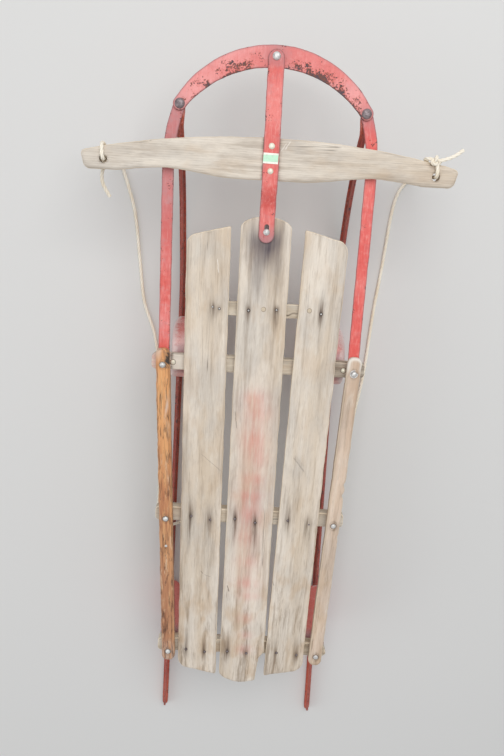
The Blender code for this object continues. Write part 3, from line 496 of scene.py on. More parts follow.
def varnished_wood(name, turn, seed):
    """Honey brown varnish that has cracked along the grain and worn through in patches."""
    f = Finish(name)
    place = f.place(turn, (seed, seed * 1.3, seed * 0.4))
    broad = f.drawn(place, 60, 7, 3.0)
    streak = f.drawn(place, 260, 14, 3.0, 0.6)
    fibre = f.drawn(place, 1300, 40, 2.0, 0.6)
    bare = f.step(f.drawn(place, 130, 26, 5.0, 0.66), 0.54, 0.64)
    line = abs(f.drawn(place, 190, 9, 3.0, 0.6) - 0.5)
    check = (1 - f.step(line, 0.0, 0.026)) * f.step(f.drawn(place, 80, 22, 2.0), 0.45, 0.56)
    black = f.step(f.drawn(place, 230, 40, 4.0, 0.7), 0.535, 0.64)
    along = f.parts(f.place())[1]
    behind = f.step(along, 0.10, -0.30)
    colour = f.coats(
        (224, 162, 106),
        (f.step(broad, 0.34, 0.66), (184, 116, 74)),
        (behind * 0.60, (184, 138, 106)),
        (f.step(streak, 0.48, 0.70) * 0.60, (122, 70, 44)),
        (f.step(streak, 0.46, 0.28) * 0.50, (236, 188, 132)),
        (bare * (0.45 + behind * 0.3), (216, 184, 152)),
        (f.step(f.mark("rim"), 0.6, 1.0) * 0.40, (228, 184, 138)),
        (f.step(along, -0.310, -0.345) * f.step(streak, 0.35, 0.60) * 0.65, (206, 180, 160)),
        (black * (0.45 + behind * 0.2), (84, 56, 42)),
        (check * 0.75, (66, 44, 32)),
        (f.mark("soot"), (214, 196, 182)),
        (f.step(f.mark("stain"), 0.02, 1.0), (60, 50, 44)))
    f.feed(Base_Color=colour, Roughness=0.42 + bare * 0.25 + black * 0.2)
    f.relief(streak * 0.4 + fibre * 0.3 - check * 1.2 - black * 0.5, 0.0005, 0.7)
    return f.material


def enamel(name, red, faded, seed, wear, edge, dust, scuffed=1.0):
    """Old red enamel: chalked and faded, flaked to dark metal, pale where it was bent or rubbed, which is
    worn paint with a painted highlight along the bends.
    """
    f = Finish(name)
    place = f.place(0.0, (seed, seed * 0.7, seed * 1.9))
    fade = f.noise(place, 16, 3.0, 0.55)
    mottle = f.noise(place, 130, 4.0, 0.62)
    scuff = f.drawn(place, 480, 60, 3.0, 0.6)
    grit = f.noise(place, 900, 2.0, 0.6)
    rim, worn = f.mark("rim"), f.mark("worn")
    flakes = f.noise(place, 460, 5.0, 0.68, 0.3) * 0.55 + f.noise(place, 75, 3.0, 0.6) * 0.45
    field = flakes + f.step(rim, 0.3, 1.0) * edge + worn * 0.16 + wear
    chip = f.step(field, 0.605, 0.618)
    halo = f.step(field, 0.545, 0.618) - chip
    speck = f.step(f.noise(place, 620, 2.0, 0.5) + worn * 0.08, 0.74, 0.76)
    # Pale along the fold mark: worn paint, and a painted highlight where a bend or crest would catch the
    # light
    rubbed_and_lit = f.step(f.mark("fold") + (mottle - 0.5) * 1.2, 0.20, 0.75)
    metal = f.coats((88, 72, 78), (f.step(f.noise(place, 260, 3.0), 0.42, 0.60), (120, 76, 64)))
    colour = f.coats(
        red,
        (f.step(fade + scuff * 0.3, 0.45, 0.85), faded),
        # Dark maroon tint on the deep mark; on the runners it spares the edges, which then read as painted
        # highlights
        (f.mark("deep") * f.step(mottle, 0.25, 0.60), (92, 42, 40)),
        (f.step(scuff, 0.52, 0.72) * (0.20 * scuffed), (244, 200, 192)),
        (f.step(scuff, 0.46, 0.28) * (0.18 * scuffed), (160, 62, 58)),
        (f.step(mottle, 0.50, 0.72) * 0.18, (240, 190, 182)),
        (f.step(mottle, 0.50, 0.30) * 0.16, (166, 62, 56)),
        (f.step(f.noise(place, 60, 4.0, 0.65), 0.50, 0.70) * dust, (186, 154, 154)),
        (f.mark("soot") * (0.50 + mottle * 0.6), (158, 126, 130)),
        (f.step(rim, 0.55, 0.98) * 0.50, (140, 82, 82)),
        (halo * (0.25 + worn * 0.5), (204, 92, 58)),
        (chip, metal),
        (speck * 0.7, (96, 56, 54)),
        (rubbed_and_lit * 0.72, (232, 216, 212)),
        (f.step(f.mark("sole"), 0.5, 0.9), (128, 116, 108)))
    f.feed(Base_Color=colour, Roughness=0.46 + chip * 0.28 + mottle * 0.12)
    f.relief(grit * 0.10 - chip * 0.8 - speck * 0.4, 0.0004, 0.6)
    return f.material


def bare_metal(name, bright, dull, rust, rusty, metallic, rough):
    """Plated or bare steel with a dull bloom and some rust."""
    f = Finish(name)
    place = f.place()
    bloom = f.step(f.noise(place, 260, 4.0, 0.6), 0.36, 0.66)
    pits = f.step(f.noise(place, 900, 3.0, 0.6) + rusty, 0.58, 0.70)
    f.feed(Base_Color=f.coats(bright, (bloom, dull), (pits, rust)), Metallic=metallic - pits * metallic * 0.8,
           Roughness=rough + bloom * 0.15 + pits * 0.3)
    f.relief(bloom * 0.4 - pits, 0.0003, 0.5)
    return f.material


def cotton(name):
    """Off-white cotton rope, grubby in patches, with painted shade in the lay of its strands."""
    f = Finish(name)
    place = f.place()
    fuzz = f.noise(place, 1500, 3.0, 0.7)
    grub = f.noise(place, 30, 4.0, 0.6)
    colour = f.coats(
        (252, 244, 228),
        (f.step(grub, 0.38, 0.75), (238, 224, 200)),
        (f.step(fuzz, 0.45, 0.8) * 0.2, (210, 196, 172)),
        # Painted shade in the grooves between the strands
        (f.mark("lay") * 0.35, (200, 182, 154)))
    f.feed(Base_Color=colour, Roughness=0.92)
    f.relief(fuzz, 0.0003, 0.7)
    return f.material


def plain(name, screen_colour, roughness):
    """One colour with a slow change of tone."""
    f = Finish(name)
    colour = painted(*screen_colour)
    tint = f.noise(f.place(), 300, 3.0)
    f.feed(Base_Color=f.mix(tint * 0.25, colour, tuple(c * 0.85 for c in colour)), Roughness=roughness)
    return f.material


def wobble(points, seed):
    """Smooth noise, about -0.5 to 0.5, at rows of points."""
    points = np.asarray(points, float)
    flat = points.reshape(-1, points.shape[-1]) + seed
    values = [noise.noise(Vector(point)) for point in flat]
    return np.array(values).reshape(points.shape[:-1])


def waver(length, seed, pitch):
    """Noise along a length, changing over about pitch metres."""
    length = np.asarray(length, float)
    return wobble(np.stack([length / pitch, 0 * length, 0 * length], -1), seed)


def ease(share):
    share = np.clip(share, 0, 1)
    return share * share * (3 - 2 * share)


def ticks(count, radius):
    """Shares of a span, with added lengths that crowd a grid's lines near both rims."""
    near = np.array((0.0, 0.13, 0.42, 1.0)) * radius
    middle = np.linspace(0, 1, count + 1)[1:-1]
    share = np.concatenate([np.zeros(4), middle, np.ones(4)])
    added = np.concatenate([near, radius * (1 - 2 * middle), -near[::-1]])
    return share, added


def rim_distance(u, v):
    """Distance of each grid point from the grid's own outline."""
    plan = np.stack([u, v], -1)
    start = np.concatenate([plan[0], plan[1:, -1], plan[-1, -2::-1], plan[-2:0:-1, 0]])
    step = np.roll(start, -1, 0) - start
    length = np.maximum((step ** 2).sum(1), 1e-16)
    points = plan.reshape(-1, 2)
    distance = np.empty(len(points))
    for first in range(0, len(points), 1500):
        offset = points[first:first + 1500, None] - start
        share = np.clip((offset * step).sum(2) / length, 0, 1)
        distance[first:first + 1500] = np.sqrt(((offset - share[..., None] * step) ** 2).sum(2).min(1))
    return distance.reshape(u.shape)


# How far the rim mark reaches inwards (edge wear on paint and varnish, a painted highlight on bare wood), and
# the thickness from which a board's sides show their grain
RIM_REACH = 0.004
THICK_BOARD = 0.004


def plate(name, sides, ends, cells, thickness, radius, place, upper=None, lower=None, marks=None):
    """Closed slab on a plan: sides(v) gives its two edges, ends(u) its two ends, place() bends it."""
    across, across_added = ticks(cells[0], radius)
    along, along_added = ticks(cells[1], radius)
    near, far = ends(np.zeros(1))
    v = near + (far - near) * along + along_added
    left, right = (side[:, None] for side in sides(v))
    u = left + (right - left) * across + across_added
    near, far = ends(u)
    v = near + (far - near) * along[:, None] + along_added[:, None]
    depth = rim_distance(u, v)
    centre, normal = place(u, v)
    inset = np.clip(radius - depth, 0, radius)
    half = thickness / 2 - radius + np.sqrt(np.maximum(radius ** 2 - inset ** 2, 0))
    top = half + (upper(u, v, depth) if upper else 0)
    bottom = -half + (lower(u, v, depth) if lower else 0)
    layers = [centre + normal * height[..., None] for height in (top, bottom)]
    rows, columns = u.shape
    index = np.arange(rows * columns).reshape(rows, columns)
    faces = np.stack([index[:-1, :-1], index[:-1, 1:], index[1:, 1:], index[1:, :-1]], -1).reshape(-1, 4)
    loop = np.concatenate([index[0], index[1:, -1], index[-1, -2::-1], index[-2:0:-1, 0]])
    after = np.roll(loop, -1)
    below = rows * columns
    wall = np.stack([loop, loop + below, after + below, after], 1)
    faces = np.concatenate([faces, faces[:, ::-1] + below, wall])
    values = {"rim": near_edge(depth, RIM_REACH)}
    values.update({key: mark(centre, depth) for key, mark in (marks or {}).items()})
    under = {"rim": values["rim"] - 2 * (thickness > THICK_BOARD), "worn": values.get("worn")}
    values = {key: np.append(value, under.get(key, 0 * value)) for key, value in values.items()}
    return solid(name, np.concatenate([layer.reshape(-1, 3) for layer in layers]), faces.tolist(), values)


def solid(name, points, faces, values):
    """Closed mesh piece with its marks, and its faces turned outwards."""
    mesh = bpy.data.meshes.new(name)
    mesh.from_pydata(points.tolist(), [], faces)
    for key, value in values.items():
        attribute = mesh.attributes.new(key, "FLOAT", "POINT")
        attribute.data.foreach_set("value", value.astype(np.float32))
    shape = bmesh.new()
    shape.from_mesh(mesh)
    bmesh.ops.recalc_face_normals(shape, faces=shape.faces)
    shape.to_mesh(mesh)
    shape.free()
    mesh.shade_smooth()
    return new_object(name, mesh)


def new_object(name, data):
    made = bpy.data.objects.new(name, data)
    bpy.context.scene.collection.objects.link(made)
    return made


def settle(piece, material, body=None, nodes=()):
    """Dress a finished piece and tie it to the frame."""
    piece.data.materials.clear()
    piece.data.materials.append(material)
    if body:
        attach(piece, body)
    if nodes:
        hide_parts(*nodes)


def bake(piece):
    """A plain mesh piece from an object with modifiers, which is then removed."""
    name = piece.name
    view = bpy.context.evaluated_depsgraph_get()
    mesh = bpy.data.meshes.new_from_object(piece.evaluated_get(view))
    bpy.data.objects.remove(piece)
    return new_object(name, mesh)


def bore(piece, tools):
    """Cut holes, given as (centre, half sizes or radius), straight down through a piece."""
    cutters = []
    for centre, size in tools:
        mesh = bpy.data.meshes.new("cutter")
        shape = bmesh.new()
        if isinstance(size, tuple):
            bmesh.ops.create_cube(shape, size=2.0, matrix=Matrix.Diagonal((*size, 1)))
        else:
            bmesh.ops.create_cone(shape, cap_ends=True, segments=32, radius1=size, radius2=size, depth=0.1)
        shape.to_mesh(mesh)
        shape.free()
        cutter = new_object("cutter", mesh)
        cutter.location = centre
        cutters.append(cutter)
        bite = piece.modifiers.new("bite", "BOOLEAN")
        bite.object = cutter
        bite.operation = "DIFFERENCE"
        bite.solver = "EXACT"
    done = bake(piece)
    for cutter in cutters:
        bpy.data.objects.remove(cutter)
    done.data.shade_smooth()
    done.data.set_sharp_from_angle(angle=SHARP)
    return done


def level(points):
    """Plan points with the upward normal of each."""
    return points, np.broadcast_to((0.0, 0.0, 1.0), points.shape)


def lying(x, y, z, turn=0.0, side=1):
    """Place a board's plan level at a height: u runs across (outwards on its side), v along."""
    def place(u, v):
        across = side * u
        east = x + across * math.cos(turn) + v * math.sin(turn)
        north = y + v * math.cos(turn) - across * math.sin(turn)
        return level(np.stack([east, north, z + 0 * u], -1))
    return place


def crosswise(y, z):
    """Place a board's plan across the sled: v runs to the right, u forward."""
    def place(u, v):
        return level(np.stack([v, y + u, z + 0 * u], -1))
    return place


def following(path):
    """Place a strip's plan along a path of points: u runs across to the right of it."""
    path = np.asarray(path, float)
    stations = np.concatenate([[0], np.cumsum(np.linalg.norm(np.diff(path, axis=0), axis=1))])
    heading = np.gradient(path, stations, axis=0)
    heading /= np.linalg.norm(heading, axis=1)[:, None]
    across = np.cross(heading, (0, 0, 1))
    across /= np.linalg.norm(across, axis=1)[:, None]
    normal = np.cross(across, heading)

    def place(u, v):
        def read(rows):
            return np.stack([np.interp(v, stations, rows[:, k]) for k in range(3)], -1)
        beyond = v - np.clip(v, 0, stations[-1])
        points = read(path) + read(across) * u[..., None] + read(heading) * beyond[..., None]
        return points, read(normal)
    return place, stations[-1]


def round_ends(half, length):
    def ends(u):
        reach = np.sqrt(np.maximum(half ** 2 - u ** 2, 0))
        return -reach, length + reach
    return ends


def corner_fall(distance, radius):
    """How far a rounded corner falls back at a distance from the side."""
    inside = np.clip(distance, 0, radius)
    return radius - np.sqrt(radius ** 2 - (radius - inside) ** 2)


def catmull(points, steps):
    """Smooth curve through points, with steps stretches between each two."""
    line = []
    for i in range(len(points) - 1):
        before, start = points[max(i - 1, 0)], points[i]
        end, after = points[i + 1], points[min(i + 2, len(points) - 1)]
        bend = 2 * before - 5 * start + 4 * end - after
        twist = 3 * start - before - 3 * end + after
        for step in range(steps):
            t = step / steps
            line.append(0.5 * (2 * start + (end - before) * t + bend * t ** 2 + twist * t ** 3))
    line.append(points[-1])
    return line


def on_sled(points):
    """Points measured from the middle crossbar, in the frame."""
    return [Vector((x, y + MIDDLE, z)) for x, y, z in points]


def geometry_tree(name, inputs):
    """New Geometry Nodes tree with named inputs, each (socket type, first value)."""
    group = bpy.data.node_groups.new(name, "GeometryNodeTree")
    group.interface.new_socket("Geometry", in_out="INPUT", socket_type="NodeSocketGeometry")
    for key, (kind, value) in inputs.items():
        socket = group.interface.new_socket(key, in_out="INPUT", socket_type=kind)
        if value is not None:
            socket.default_value = value
    group.interface.new_socket("Geometry", in_out="OUTPUT", socket_type="NodeSocketGeometry")
    source = group.nodes.new("NodeGroupInput")
    given = {socket.name: Value(group, socket) for socket in source.outputs if socket.name}
    return group, Tree(group), given


def finish_tree(tree, geometry, material):
    solid_parts = tree.out("GeometryNodeRealizeInstances", None, {"Geometry": geometry})
    dressed = tree.out("GeometryNodeSetMaterial", None, {"Geometry": solid_parts, "Material": material})
    tree.node("NodeGroupOutput", None, {"Geometry": dressed})


def grow(piece, group, values):
    """Run a geometry tree on an object and keep its result as a plain mesh."""
    modifier = piece.modifiers.new("grow", "NODES")
    modifier.node_group = group
    for item in group.interface.items_tree:
        if item.in_out == "INPUT" and item.name in values:
            modifier[item.identifier] = values[item.name]
    return bake(piece)


def rope_tree():
    """Three strands laid round each other along a curve."""
    group, tree, given = geometry_tree("laid_rope", {
        "Radius": ("NodeSocketFloat", ROPE_DIAMETER / 2), "Pitch": ("NodeSocketFloat", ROPE_PITCH),
        "Spacing": ("NodeSocketFloat", 0.0018), "Material": ("NodeSocketMaterial", None)})
    line = tree.out("GeometryNodeResampleCurve", {"mode": "LENGTH"}, {
        "Curve": given["Geometry"], "Length": given["Spacing"]})
    travelled = tree.out("GeometryNodeSplineParameter", output="Length")
    twisted = tree.out("GeometryNodeSetCurveTilt", None, {
        "Curve": line, "Tilt": travelled * (2 * math.pi) / given["Pitch"]})
    circle = tree.out("GeometryNodeCurvePrimitiveCircle", None, {"Resolution": 24, "Radius": given["Radius"]})
    here = tree.out("GeometryNodeInputPosition")
    parts = tree.node("ShaderNodeSeparateXYZ", None, {0: here})
    angle = Value(group, parts.outputs[1]).maths("ARCTAN2", Value(group, parts.outputs[0]))
    lobe = abs((angle * 1.5).maths("COSINE"))
    swell = lobe.maths("POWER", 0.7) * 0.30 + 0.74
    swollen = tree.out("ShaderNodeVectorMath", {"operation": "SCALE"}, {0: here, "Scale": swell})
    lobed = tree.out("GeometryNodeSetPosition", None, {"Geometry": circle, "Position": swollen})
    stored = tree.out("GeometryNodeStoreNamedAttribute", {"data_type": "FLOAT"}, {
        "Geometry": lobed, "Name": "lay", "Value": (1 - lobe).maths("POWER", 2.0)})
    tube = tree.out("GeometryNodeCurveToMesh", None, {
        "Curve": twisted, "Profile Curve": stored, "Fill Caps": True})
    smooth = tree.out("GeometryNodeSetShadeSmooth", None, {"Geometry": tube, "Shade Smooth": True})
    finish_tree(tree, smooth, given["Material"])
    return group


def stud_tree():
    """Domed heads on points that carry a facing, each with a washer disc where one is asked for."""
    group, tree, given = geometry_tree("studs", {
        "Radius": ("NodeSocketFloat", 0.005), "Height": ("NodeSocketFloat", 0.003),
        "Washer": ("NodeSocketFloat", 0.0), "Uneven": ("NodeSocketFloat", 0.06),
        "Material": ("NodeSocketMaterial", None)})
    ball = tree.out("GeometryNodeMeshUVSphere", None, {"Segments": 24, "Rings": 14, "Radius": 1.0})
    size = tree.out("ShaderNodeCombineXYZ", None, {
        0: given["Radius"], 1: given["Radius"], 2: given["Height"]})
    head = tree.out("GeometryNodeTransform", None, {"Geometry": ball, "Scale": size})
    washer = tree.out("GeometryNodeMeshCylinder", None, {
        "Vertices": 28, "Radius": given["Washer"], "Depth": given["Height"] * 0.35})
    wanted = given["Washer"].maths("GREATER_THAN", 0.0)
    disc = tree.out("GeometryNodeSwitch", {"input_type": "GEOMETRY"}, {"Switch": wanted, "True": washer})
    both = tree.node("GeometryNodeJoinGeometry")
    group.links.new(head.socket, both.inputs[0])
    group.links.new(disc.socket, both.inputs[0])
    facing = tree.out("GeometryNodeInputNamedAttribute", {"data_type": "FLOAT_VECTOR"}, {"Name": "facing"})
    turned = tree.out("FunctionNodeAlignRotationToVector", {"axis": "Z"}, {"Vector": facing})
    stretch = tree.out("FunctionNodeRandomValue", {"data_type": "FLOAT"}, {
        2: 1.0 - given["Uneven"], 3: 1.0 + given["Uneven"], "Seed": 4}, 1)
    placed = tree.out("GeometryNodeInstanceOnPoints", None, {
        "Points": given["Geometry"], "Instance": Value(group, both.outputs[0]), "Rotation": turned,
        "Scale": stretch})
    finish_tree(tree, placed, given["Material"])
    return group


def cord_line():
    """The rope's centre line: down from the left hole, along the floor, up to the right one."""
    top = BAR_TOP - 0.001
    levels = [top - (top - ROPE_SPLIT) * step / 12 for step in range(12)]
    left = [Vector((-HOLE_X, BAR_Y, level)) for level in levels]
    right = [Vector((HOLE_X, BAR_Y, level)) for level in reversed(levels)]
    ends = [Vector((side * HOLE_X, BAR_Y, ROPE_SPLIT)) for side in (-1, 1)]
    floor = catmull([ends[0], *on_sled(ROPE_ROUTE), ends[1]], ROPE_STEPS)
    return left + floor + right


def rope_piece(name, points, group, material, closed=False):
    curve = bpy.data.curves.new(name, "CURVE")
    curve.dimensions = "3D"
    line = curve.splines.new("POLY")
    line.points.add(len(points) - 1)
    line.use_cyclic_u = closed
    for place, point in zip(line.points, points):
        place.co = (*point, 1)
    return grow(new_object(name, curve), group, {"Material": material})


def knot_points(centre, size, turn):
    """A trefoil, which reads as a tightened overhand knot."""
    spin = turn.to_matrix()
    points = []
    for step in range(60):
        t = 2 * math.pi * step / 60
        east, north = math.sin(t) + 2 * math.sin(2 * t), math.cos(t) - 2 * math.cos(2 * t)
        points.append(centre + spin @ (Vector((east, north, -1.3 * math.sin(3 * t))) * size))
    return points


# The ties at the bar's holes: name, side, and the path as (across, along, level) from the hole
ROPE_TIES = (
    ("rope_loop_left", -1, (
        (0, 0, BAR_TOP - 0.002), (-0.0002, 0.001, BAR_TOP + 0.003), (-0.001, 0.006, BAR_TOP + 0.005),
        (-0.0015, 0.014, BAR_TOP + 0.003), (-0.002, 0.0195, BAR_TOP - 0.002),
        (-0.0015, 0.0200, BAR_BOTTOM + 0.005), (-0.001, 0.0165, BAR_BOTTOM - 0.003),
        (0, 0.009, BAR_BOTTOM - 0.0045), (0, 0.003, BAR_BOTTOM - 0.008))),
    ("rope_tail_left", -1, (
        (0, -0.003, BAR_BOTTOM - 0.008), (-0.004, -0.012, BAR_BOTTOM - 0.0095),
        (-0.0065, -0.022, BAR_BOTTOM - 0.012), (-0.006, -0.032, BAR_BOTTOM - 0.016),
        (-0.002, -0.042, BAR_BOTTOM - 0.021), (0.002, -0.050, BAR_BOTTOM - 0.026))),
    ("rope_loop_right", 1, (
        (0, 0, BAR_TOP - 0.002), (0, 0.001, BAR_TOP + 0.003), (0, 0.007, BAR_TOP + 0.005),
        (-0.0005, 0.013, BAR_TOP + 0.004), (-0.001, 0.018, BAR_TOP + 0.004))),
    ("rope_turn_right", 1, (
        (-0.004, 0.022, BAR_TOP + 0.001), (-0.012, 0.0235, BAR_TOP - 0.001),
        (-0.015, 0.0225, BAR_TOP - 0.008), (-0.011, 0.0205, BAR_BOTTOM),
        (-0.006, 0.014, BAR_BOTTOM - 0.004), (-0.001, 0.004, BAR_BOTTOM - 0.006))),
    ("rope_tail_right", 1, (
        (0.001, 0.021, BAR_TOP + 0.004), (0.009, 0.0235, BAR_TOP + 0.0045), (0.017, 0.0265, BAR_TOP + 0.004),
        (0.025, 0.031, BAR_TOP + 0.0025), (0.0325, 0.0365, BAR_TOP))),
)
# The knots: name, side, (across, along, level) from the hole, turn
ROPE_KNOTS = (
    ("rope_hitch_left", -1, (0, 0, BAR_BOTTOM - 0.0085), (0.3, 0.2, 0.5)),
    ("rope_hitch_right", 1, (-0.003, 0.0205, BAR_TOP + 0.0035), (0.5, 0.2, 1.1)),
)
KNOT_SIZE = 0.0019


def make_rope():
    group, material = rope_tree(), cotton("cotton_rope")
    line = cord_line()
    length = sum((b - a).length for a, b in zip(line, line[1:]))
    cord = rope_piece("tow_rope", line, group, material)

    def from_hole(side, place):
        return Vector((side * HOLE_X + place[0], BAR_Y + place[1], place[2]))

    pieces = []
    for name, side, path in ROPE_TIES:
        points = catmull([from_hole(side, place) for place in path], 8)
        pieces.append(rope_piece(name, points, group, material))
    for name, side, place, turn in ROPE_KNOTS:
        points = knot_points(from_hole(side, place), KNOT_SIZE, Euler(turn))
        pieces.append(rope_piece(name, points, group, material, True))
    for piece in pieces:
        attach(piece, "steering_lever")
    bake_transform(cord)
    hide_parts("rope_drop_left", "rope_drop_right", "rope_floor", "rope_knot_left", "rope_knot_right")


def on_plan(points):
    """Places across and along the sled, from the middle crossbar."""
    return points[..., 0], points[..., 1] - MIDDLE


def bell(distance, width):
    return np.exp(-(distance / width) ** 2)


def near_edge(depth, reach):
    """1 at a board's edge, falling to 0 at a reach from it."""
    return np.clip(1 - depth / reach, 0, 1)


def blots(table):
    """Mark made of soft oval blots: across, along, half width, half length, strength."""
    def mark(points, depth):
        x, y = on_plan(points)
        return np.clip(sum(strength * bell(x - east, across) * bell(y - north, along)
                           for east, north, across, along, strength in table), 0, 1)
    return mark


def nail_stain(points, depth):
    """Dark bleeding round the nails, drawn out along the grain."""
    total = np.zeros(points.shape[:-1])
    x, y = on_plan(points)
    for east, north, strength, ahead, behind in NAILS:
        across, along = x - east, y - north
        reach = np.where(along < 0, behind, ahead)
        total += 0.50 * strength * bell(across, 0.0026) * bell(along, 0.0045)
        total += 0.50 * strength * bell(across + 0.0005, 0.0034) * bell(along, reach)
        total += 0.30 * strength * bell(across + 0.0010, 0.0070) * bell(along, reach * 1.35)
    return np.clip(total, 0, 1)


def uneven(seed, amount, pitch=0.03):
    """Wear of an edge, as a push outwards or inwards along its length."""
    def edge(length):
        return amount * (waver(length, seed, pitch) + 0.45 * waver(length, seed + 7, pitch / 4))
    return edge


def relief(seed, amount):
    """Slow rise and fall of a worn surface, longer along the board than across it."""
    def height(u, v, depth):
        return amount * wobble(np.stack([u / 0.011, v / 0.055, 0 * u], -1), seed)
    return height


def make_slats():
    half = SIDE_SLAT_HALF
    # Seed of the wear and the grain, place of the pith, tilt of the rings
    looks = {"left": (3.1, 0.018, 0.05), "right": (8.7, -0.020, -0.06)}
    for side, name in SLAT_SIDES:
        seed, pith, tilt = looks[name]
        turn = side * SIDE_SLAT_SPLAY[name]
        inner_wear, outer_wear = uneven(seed, 0.0007), uneven(seed + 20, 0.0009)

        def sides(v):
            return -half + inner_wear(v), half + outer_wear(v)

        def ends(u):
            share = (u + half) / (2 * half)
            fall = corner_fall(u + half, 0.0025)
            front = SIDE_SLAT_FRONT - SIDE_SLAT_SLANT * share
            front = front - corner_fall(half - u, SIDE_SLAT_FRONT_CORNER) - fall
            rear = SIDE_SLAT_REAR + SIDE_SLAT_REAR_SLANT * share
            rear = rear + corner_fall(half - u, SIDE_SLAT_REAR_CORNER) + fall
            return rear + uneven(seed + 3, 0.0010, 0.009)(u), front + uneven(seed + 5, 0.0008, 0.012)(u)

        slat = plate("slat_" + name + "_board", sides, ends, (30, 330), SLAT_TOP - SLAT_BOTTOM, SLAT_ROUNDING,
                     lying(side * SIDE_SLAT_OFFSET, MIDDLE, SLAT_LEVEL, turn, side), relief(seed, 0.0004),
                     marks={"stain": nail_stain, "smudge": blots(SMUDGES)})
        settle(slat, weathered_wood("ash_slat_" + name, turn, seed, pith, tilt), "deck",
               ["slat_" + name])


def make_center_slat():
    half = CENTER_SLAT_HALF
    broken = half - BREAK_WIDTH
    left_wear, right_wear = uneven(31, 0.0007), uneven(37, 0.0008)
    break_y = (CENTER_SLAT_REAR - CENTER_SLAT_POINT, CENTER_SLAT_REAR + 0.9 * BREAK_LENGTH,
               CENTER_SLAT_REAR + 1.15 * BREAK_LENGTH)
    break_x = (broken, broken + BREAK_WIDTH / 3, half)
    torn = uneven(43, 0.0016, 0.006)

    def sides(v):
        right = np.interp(v, break_y, break_x)
        return -half + left_wear(v), right + right_wear(v) + torn(v) * (v < break_y[2])

    def ends(u):
        bow = (u / half) ** 2
        front_fall = 0.6 * corner_fall(half - np.abs(u), CENTER_SLAT_CORNER)
        rear_fall = 0.6 * corner_fall(half + u, CENTER_SLAT_CORNER)
        front = CENTER_SLAT_FRONT + CENTER_SLAT_CROWN * (1 - bow) - front_fall
        rear = CENTER_SLAT_REAR - CENTER_SLAT_POINT * (1 - bow) + rear_fall
        return rear + uneven(47, 0.0012, 0.008)(u), front + uneven(53, 0.0006, 0.012)(u)

    slat = plate("slat_center_board", sides, ends, (36, 350), SLAT_TOP - SLAT_BOTTOM, SLAT_ROUNDING,
                 lying(0, MIDDLE, SLAT_LEVEL), relief(41, 0.0004),
                 marks={"stain": nail_stain, "smudge": blots(SMUDGES), "soot": blots(SOOT)})
    settle(slat, weathered_wood("ash_slat_center", 0.0, 5.3, 0.004, 0.045), "deck",
           ["slat_center"])


def crossbar_dirt(points, depth):
    """Damp dirt round the right end's rivets, a dark line along the left rail's edge, and a little darkening
    along all edges.
    """
    x = points[..., 0]
    right = 0.42 * ease((x - 0.104) / 0.006)
    beside = 0.8 * bell(x + 0.1264, 0.0018)
    return np.clip(right + beside + 0.12 * near_edge(depth, 0.004), 0, 1)


def left_of(start, reach, strength):
    """Mark that grows to the left of a place across the sled."""
    def mark(points, depth):
        return strength * ease((start - points[..., 0]) / reach)
    return mark


def make_crossbars():
    half = CROSSBAR_HALF_WIDTH
    # Front crossbar: dirt at the right end, a dark line by the left rail, pale grey towards the left end
    # (partly painted light, lifting the left rail's shade), and pink on that end
    worn = {"stain": crossbar_dirt, "rubbed_and_lit": left_of(-0.095, 0.02, 0.55),
            "smudge": left_of(-0.136, 0.006, 0.40)}
    # Name, place, seed, depth of the cut corner, marks
    bars = (("front", FRONT_Y, 61, 0.0, worn), ("middle", MIDDLE, 67, 0.0, None),
            ("rear", REAR_Y, 71, 0.008, None))
    for name, y, seed, chamfer, marks in bars:
        reach = high("crossbar_" + name).x
        wear = uneven(seed, 0.0008)

        def sides(v):
            return -half + wear(v), half + wear(v + 3)

        def ends(u):
            fall = corner_fall(half - np.abs(u), CROSSBAR_CORNER) + uneven(seed + 2, 0.0006, 0.008)(u)
            return -reach + fall, reach - fall - chamfer * np.clip((u + half) / (2 * half) - 0.3, 0, 1)

        place = crosswise(y, (CROSSBAR_TOP + CROSSBAR_BOTTOM) / 2)
        bar = plate("crossbar_" + name + "_timber", sides, ends, (12, 170), CROSSBAR_TOP - CROSSBAR_BOTTOM,
                    CROSSBAR_ROUNDING, place, relief(seed, 0.0003), marks=marks)
        wood = weathered_wood("ash_crossbar_" + name, math.pi / 2, seed / 7, 0.01, 0.05, CROSSBAR_TONES)
        settle(bar, wood, "deck", ["crossbar_" + name])


def batten_split(points, depth):
    """A slanting crack across the right gap."""
    x, y = on_plan(points)
    line = -0.0045 + 0.22 * (x - 0.040) + 0.0008 * np.sin(x / 0.0022)
    along = ease((x - 0.022) / 0.010) * ease((0.058 - x) / 0.010)
    return along * bell(y - BATTEN_PLACE - line, 0.0009)


def make_batten():
    reach = high("nose_batten").x
    bottom, top = low("nose_batten").z, high("nose_batten").z
    wear = uneven(77, 0.0012, 0.02)

    def sides(v):
        return -BATTEN_HALF + wear(v), BATTEN_HALF + wear(v + 2)

    def ends(u):
        fall = corner_fall(BATTEN_HALF - np.abs(u), 0.003)
        return -reach + fall, reach - fall

    batten = plate("nose_batten_strip", sides, ends, (16, 160), top - bottom, BATTEN_ROUNDING,
                   crosswise(BATTEN_PLACE + MIDDLE, (top + bottom) / 2), relief(79, 0.0004),
                   marks={"stain": batten_split})
    wood = weathered_wood("ash_batten", math.pi / 2, 11.0, 0.02, 0.08, CROSSBAR_TONES)
    settle(batten, wood, "deck", ["nose_batten"])


def rail_dirt(points, depth):
    """Black dirt where a rail lies on a crossbar and round its rivets."""
    x, y = on_plan(points)
    total = np.zeros(x.shape)
    for east, north in RAIL_RIVETS:
        total += 0.40 * bell(np.hypot(x - east, (y - north) / 1.3) - 0.0054, 0.0012)
    speckled = np.clip(0.5 + 1.6 * wobble(points * 320, 9), 0, 1)
    total += 1.3 * ease((x + 0.1360) / 0.005) * ease((y - 0.232) / 0.008) * (x < 0) * speckled
    return np.clip(total, 0, 1)


